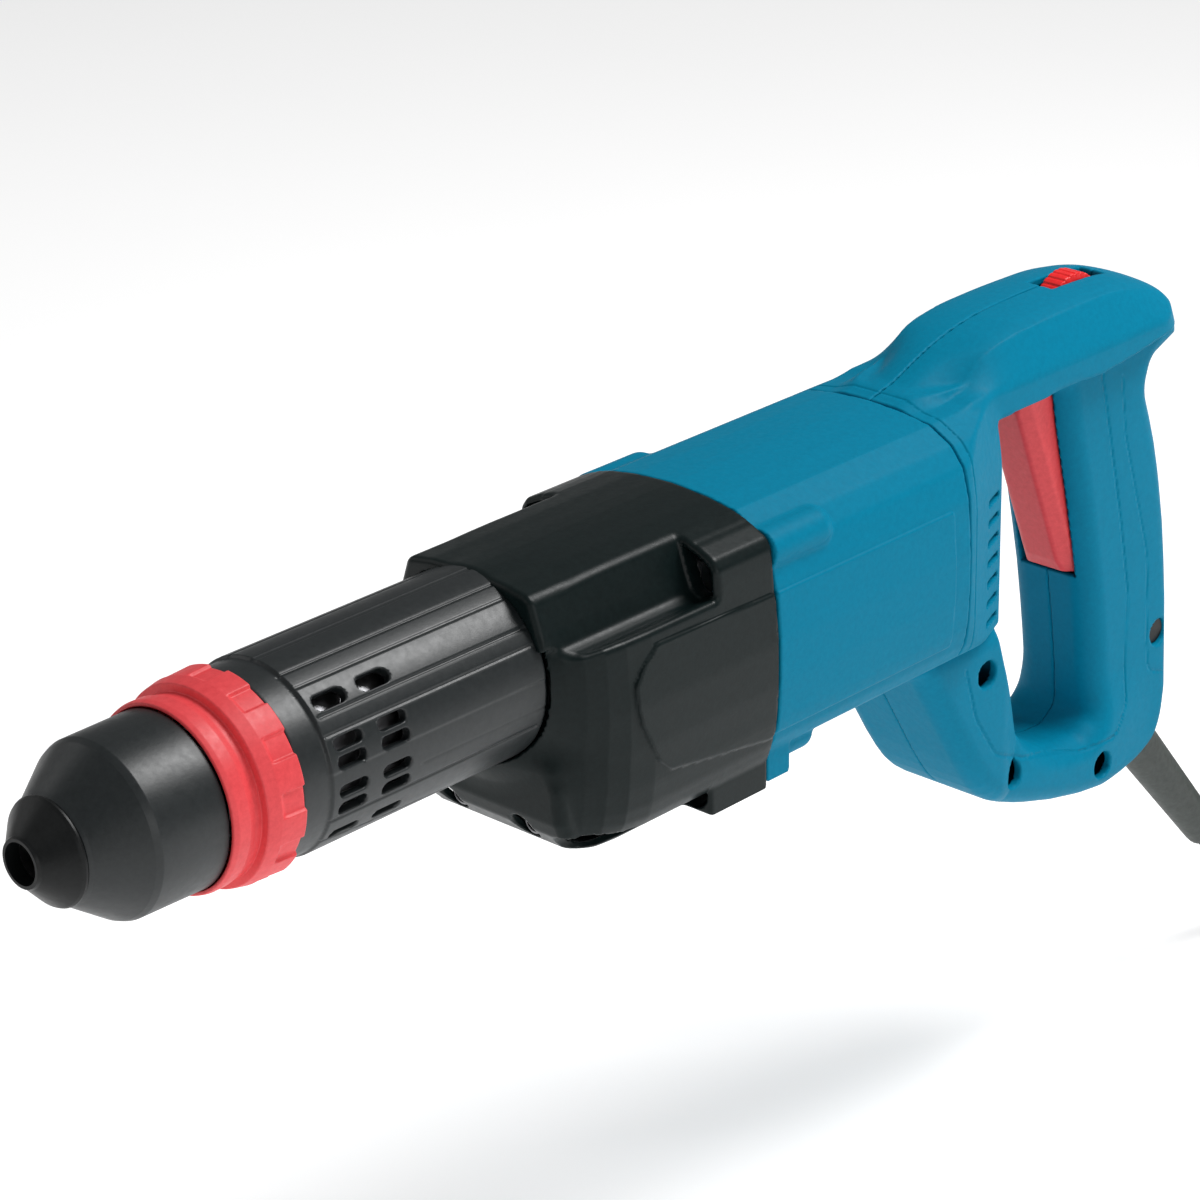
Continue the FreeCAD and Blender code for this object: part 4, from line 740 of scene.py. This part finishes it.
sculpt("motor_housing_skin", motor_shape, (211, -36, -49), (289.2, 36, 26), 0.75, "housing", ["motor_housing"],
       "plastic_blue")


# ---------------------------------------------------------------- handle

handle_outline = Outline([
    (280, 24), (289, 24, 400), (298.8, 27.3, 400), (314, 33.5, 400), (333.5, 37.6, 400), (366, 38.0, 400),
    (384, 37.0, 400), (397, 32.7, 400), (406, 26, 40), (410.4, 18, 14), (410.6, 12.5, 2), (399, 8, 4),
    (396.5, 1, 400), (402.8, -16, 400), (408.6, -42, 400), (411.2, -68, 400), (412.6, -96, 14), (411.2, -106, 400),
    (407.4, -113, 400), (399, -116.8, 400), (378, -117.4, 400), (354, -112.8, 400), (331, -105.0, 400),
    (317.5, -96.6, 400), (309, -84, 400), (298.4, -66.3, 400), (289, -50.5, 400), (280, -46),
], cell=0.35)
opening_outline = Outline([
    (320.6, 11, 3), (322, -26, 400), (321, -45, 400), (324.6, -58, 400), (333, -78, 400), (343, -90, 400),
    (356, -96.5, 400), (368, -97.2, 5), (374.6, -93, 5), (373.8, -80, 400), (369.8, -51, 400), (362.5, -20, 400),
    (357.5, 0, 400), (355.5, 11, 3),
], cell=0.35)
side_line = Outline([
    (372.6, 11.6), (376, -3), (383.8, -36), (388.5, -60), (388.1, -93, 6), (381.4, -100.2, 6), (366.3, -100.5, 12),
    (337.6, -92, 20), (320.8, -83.7, 8), (311.8, -70.1, 10), (307, -54),
], 15.0, cell=0.35, closed=False)
panel_line = Outline([
    (382, 8.6), (384.3, -9.3), (397.2, -50), (398.5, -76), (399.5, -87, 5), (407, -90),
], 20.0, cell=0.35, closed=False)
HANDLE_SCREWS = [(316.6, -58.3), (332.5, -95.0), (374.5, -107.3), (404.4, -76.5)]
LOUVRES = [(306.4, -3.4 - 5.8 * row) for row in range(8)]
CREST_X = [289, 300, 308, 320, 336, 352, 376, 390, 400, 412]
CREST_Y = [12, 12, 12, 14.5, 15, 15, 14.5, 15, 15, 14]
CREST_Z = [20.6, 22.2, 24.6, 33, 35, 35.3, 35, 32.2, 28.5, 22]
TOP_X = [289, 298.8, 306, 314, 323, 333.5, 350, 366, 384, 391, 397, 403, 412]
TOP_Z = [24.4, 27.3, 30.6, 33.4, 35.7, 37.1, 37.7, 37.6, 36.7, 35.2, 33.0, 30.0, 24.5]
GUARD = np.array([math.cos(math.radians(49)), -math.sin(math.radians(49))])


def handle_shape(x, y, z, half):
    side = np.abs(y)
    outline = handle_outline(x, z)
    opening = opening_outline(x, z)
    # the arm along the top
    crest_y = eased(x, CREST_X, CREST_Y)
    crest_z = eased(x, CREST_X, CREST_Z)
    top_z = eased(x, TOP_X, TOP_Z)
    crown = top_z - (top_z - crest_z) * (side / crest_y) ** 2
    bevel = crest_z + (np.minimum(23.5, crest_z - 1) - crest_z) * (side - crest_y) / (20.8 - crest_y)
    arm = (z - np.where(side < crest_y, crown, bevel)) * 0.82
    rear_end = 0.93 * (x - np.interp(z, [12, 18, 26, 32, 37], [407.6, 407.2, 404, 398, 386]))
    arm = meet(arm, meet(side - 20.8, rear_end, 13.0), 1.0)
    arm = meet(arm, outline, 2.0)
    low_edge = np.interp(x, [289, 312, 318, 366, 379, 392, 412], [-4, 6, 15.5, 15.5, 16.7, 18.6, 20])
    arm = meet(arm, low_edge - z, 0.8)
    # the ring of the handle below it
    front_lobe = smooth((340 - x) / 16) * smooth((-36 - z) / 16)
    wide = 14.6 + np.maximum(3.4 * smooth((-80 - z) / 22) * smooth((404 - x) / 30), 5.4 * front_lobe)
    ring = meet(outline, side - wide, 6.5)
    ring = meet(ring, z - 26, 0.5)
    d = join(arm, ring, 1.0)
    # the shoulders that widen to the motor housing
    wing = meet(motor_section(y, z), 0.4195 * (x - 291) + 0.9077 * (side - 34.2), 1.5)
    wing = meet(wing, 0.409 * (x - 316) + 0.897 * (side - 20.8) + 0.165 * (z - 13.6), 0.8)
    wing = meet(meet(wing, outline, 2.5), x - 321, 2.0)
    d = join(d, wing, 2.0)
    d = carve(d, opening, 1.4 + 6.0 * smooth((x - 331) / 14))
    hollow = np.maximum(d + 2.6, 285 - x)
    d = meet(d, 289.15 - x, 0.5)
    # seams, panel lines, louvres and screw ways
    face = smooth((side - 9) / 2)
    d = d + groove(side_line(x, z), 0.55, 0.55) * face + groove(panel_line(x, z), 0.5, 0.4) * face
    d = d + groove(np.abs(x - 293.0), 0.45, 0.45) * smooth((z + 47) / 3)
    for at_x, at_z in LOUVRES:
        along = np.clip((x - at_x) * 0.993 - (z - at_z) * 0.12, 0, 9.6)
        slot = np.hypot(x - at_x - along * 0.993, z - at_z + along * 0.12) - 0.95
        d = carve(d, np.maximum(slot, 15 - side), 0.2)
    if half < 0:
        for at_x, at_z in HANDLE_SCREWS:
            d = carve(d, np.maximum(np.hypot(x - at_x, z - at_z) - 4.0, y + 10.1), 0.4)
    # inside
    d = carve(d, hollow)
    d = carve(d, np.maximum(np.maximum(np.abs(x - 359.5) - 21.5, side - 9.4), np.abs(z + 14.6) - 34.7), 0.3)
    dial_way = meet(np.maximum(np.abs(x - DIAL_MIDDLE[0]) - 11.8, side - 4.2), 14 - z)
    d = carve(d, dial_way, 0.6)
    past_x, past_z = x - CORD_WAY[0], z - CORD_WAY[1]
    along = past_x * GUARD[0] + past_z * GUARD[1]
    off = np.hypot(past_x * -GUARD[1] + past_z * GUARD[0], y)
    d = carve(d, np.maximum(off - 7.7, -16 - along), 0.5)
    return meet(d, (0.02 - y * half), 0.3)


for label, half in (("handle_left", -1), ("handle_right", 1)):
    far = (289, -36.0, -118.5) if half < 0 else (289, 0, -118.5)
    near = (415, 0, 38.2) if half < 0 else (415, 36.0, 38.2)
    sculpt(label + "_skin", lambda x, y, z, half=half: handle_shape(x, y, z, half), far, near, 0.8, "housing", [label],
           "plastic_blue")


# ---------------------------------------------------------------- trigger, dial, cord guard

trigger_outline = Outline([
    (347.5, 12, 2), (345.8, 6, 4), (366, -44.5, 4), (368.5, -48.5, 1), (372.4, -48.6, 1), (371.6, -38), (366, 2),
    (362, 14), (357, 18.4), (347.5, 18.4),
])


def trigger_shape(x, y, z):
    side = np.abs(y)
    d = meet(trigger_outline(x, z), side - 9.0, 0.7)
    front = -0.928 * (x - 345.8) - 0.371 * (z - 6)
    d = meet(d, 0.707 * (front + side - 9.0 + 3.5), 0.6)
    d = carve(d, np.maximum(np.maximum(362 - x, side - 7), np.abs(z + 11) - 13))
    return carve(d, np.hypot(x - TRIGGER_PIN[0], z - TRIGGER_PIN[1]) - 2.06)


sculpt("trigger_skin", trigger_shape, (345, -9.2, -50), (373, 9.2, 19), 0.4, "trigger", ["trigger"], "plastic_red")


def across_at(middle):
    """A move from an axis along x to an axis along y at a place in the xz plane."""
    return lambda points: np.stack([middle[0] + points[:, 1], points[:, 0], middle[1] + points[:, 2]], -1)


turned("trigger_pin_skin", [(-11.4, 0), (-11.4, 1.98), (11.4, 1.98), (11.4, 0)], "housing", ["trigger_pin"],
       "steel_bright", around=48, place=across_at(TRIGGER_PIN))

turned("speed_dial_skin", [
    (-3.5, 2.5), (-3.5, 9.6, 0.2), (-3.0, 11.4, 0.4), (3.0, 11.4, 0.4), (3.5, 9.6, 0.2), (3.5, 2.5), (6, 1.8), (6, 0),
    (-6, 0), (-6, 1.8),
], "speed_dial", ["speed_dial"], "plastic_dial", radius=0.2, around=600, fine=0.6, place=across_at(DIAL_MIDDLE),
       shift=lambda x, r, angle: -0.3 * smooth((r - 9.8) / 1.2) * smooth((np.cos(30 * angle) - 0.1) / 0.8))


def down_cord(points):
    """From an axis along x to the cord's way out of the handle."""
    x, y, z = points.T
    return np.stack([CORD_WAY[0] + x * GUARD[0] - z * GUARD[1], y, CORD_WAY[1] + x * GUARD[1] + z * GUARD[0]], -1)


turned("cord_guard_skin", [
    (-13, 4.06), (-13, 9.0), (-10, 9.0), (-10, 7.3), (0.6, 7.4, 0.5), (1.2, 7.1, 0.4), (66.0, 5.45, 1.0),
    (68.5, 5.2, 0.8), (68.5, 4.06),
], "housing", ["cord_guard"], "cord_rubber", look=LOOKS["guard_rubber"], radius=0.3, fine=1.0, place=down_cord,
       around=120)


# ---------------------------------------------------------------- lights and floor

def area_light(name, place, target, size, power, colour=(1.0, 1.0, 1.0)):
    data = bpy.data.lights.new(name, "AREA")
    data.shape = "RECTANGLE"
    data.size, data.size_y = size
    data.energy = power
    data.color = colour
    light = bpy.data.objects.new(name, data)
    light.location = place
    light.rotation_euler = (Vector(target) - Vector(place)).to_track_quat("-Z", "Y").to_euler()
    bpy.context.scene.collection.objects.link(light)


area_light("key", (-0.40, 0.34, 0.98), (0.15, 0.0, 0.03), (0.50, 0.45), 12.5)
area_light("side", (0.45, 1.25, 0.35), (0.12, 0.0, -0.02), (0.9, 0.6), 2.8)
area_light("front", (1.30, -0.20, 0.45), (0.15, 0.0, 0.0), (0.7, 0.5), 1.2)
area_light("back", (0.7, -1.2, 0.7), (0.1, 0.0, 0.0), (0.8, 0.8), 1.6)

world = bpy.data.worlds.new("studio")
world.use_nodes = True
world.node_tree.nodes["Background"].inputs[0].default_value = (1.0, 1.0, 1.0, 1.0)
world.node_tree.nodes["Background"].inputs[1].default_value = 0.21
bpy.context.scene.world = world
bpy.context.scene.view_settings.view_transform = "Standard"

floor_mesh = bpy.data.meshes.new("floor")
floor_z = cad_box[0][2] - 0.0002
floor_mesh.from_pydata([(-8, -8, floor_z), (8, -8, floor_z), (8, 8, floor_z), (-8, 8, floor_z)], [], [(0, 1, 2, 3)])
floor_look, floor_tree, floor_shader = new_material("floor_pale")
floor_tree.links.new(ramp(floor_tree, noise(floor_tree, 3.0), (0.86, 0.86, 0.86), (0.88, 0.88, 0.88)),
                     floor_shader.inputs["Base Color"])
floor_shader.inputs["Roughness"].default_value = 0.7
floor_shader.inputs["Emission Color"].default_value = (1.0, 1.0, 1.0, 1.0)
floor_shader.inputs["Emission Strength"].default_value = 0.5
floor_mesh.materials.append(floor_look)
floor = bpy.data.objects.new("floor", floor_mesh)
bpy.context.scene.collection.objects.link(floor)

bpy.context.view_layer.update()
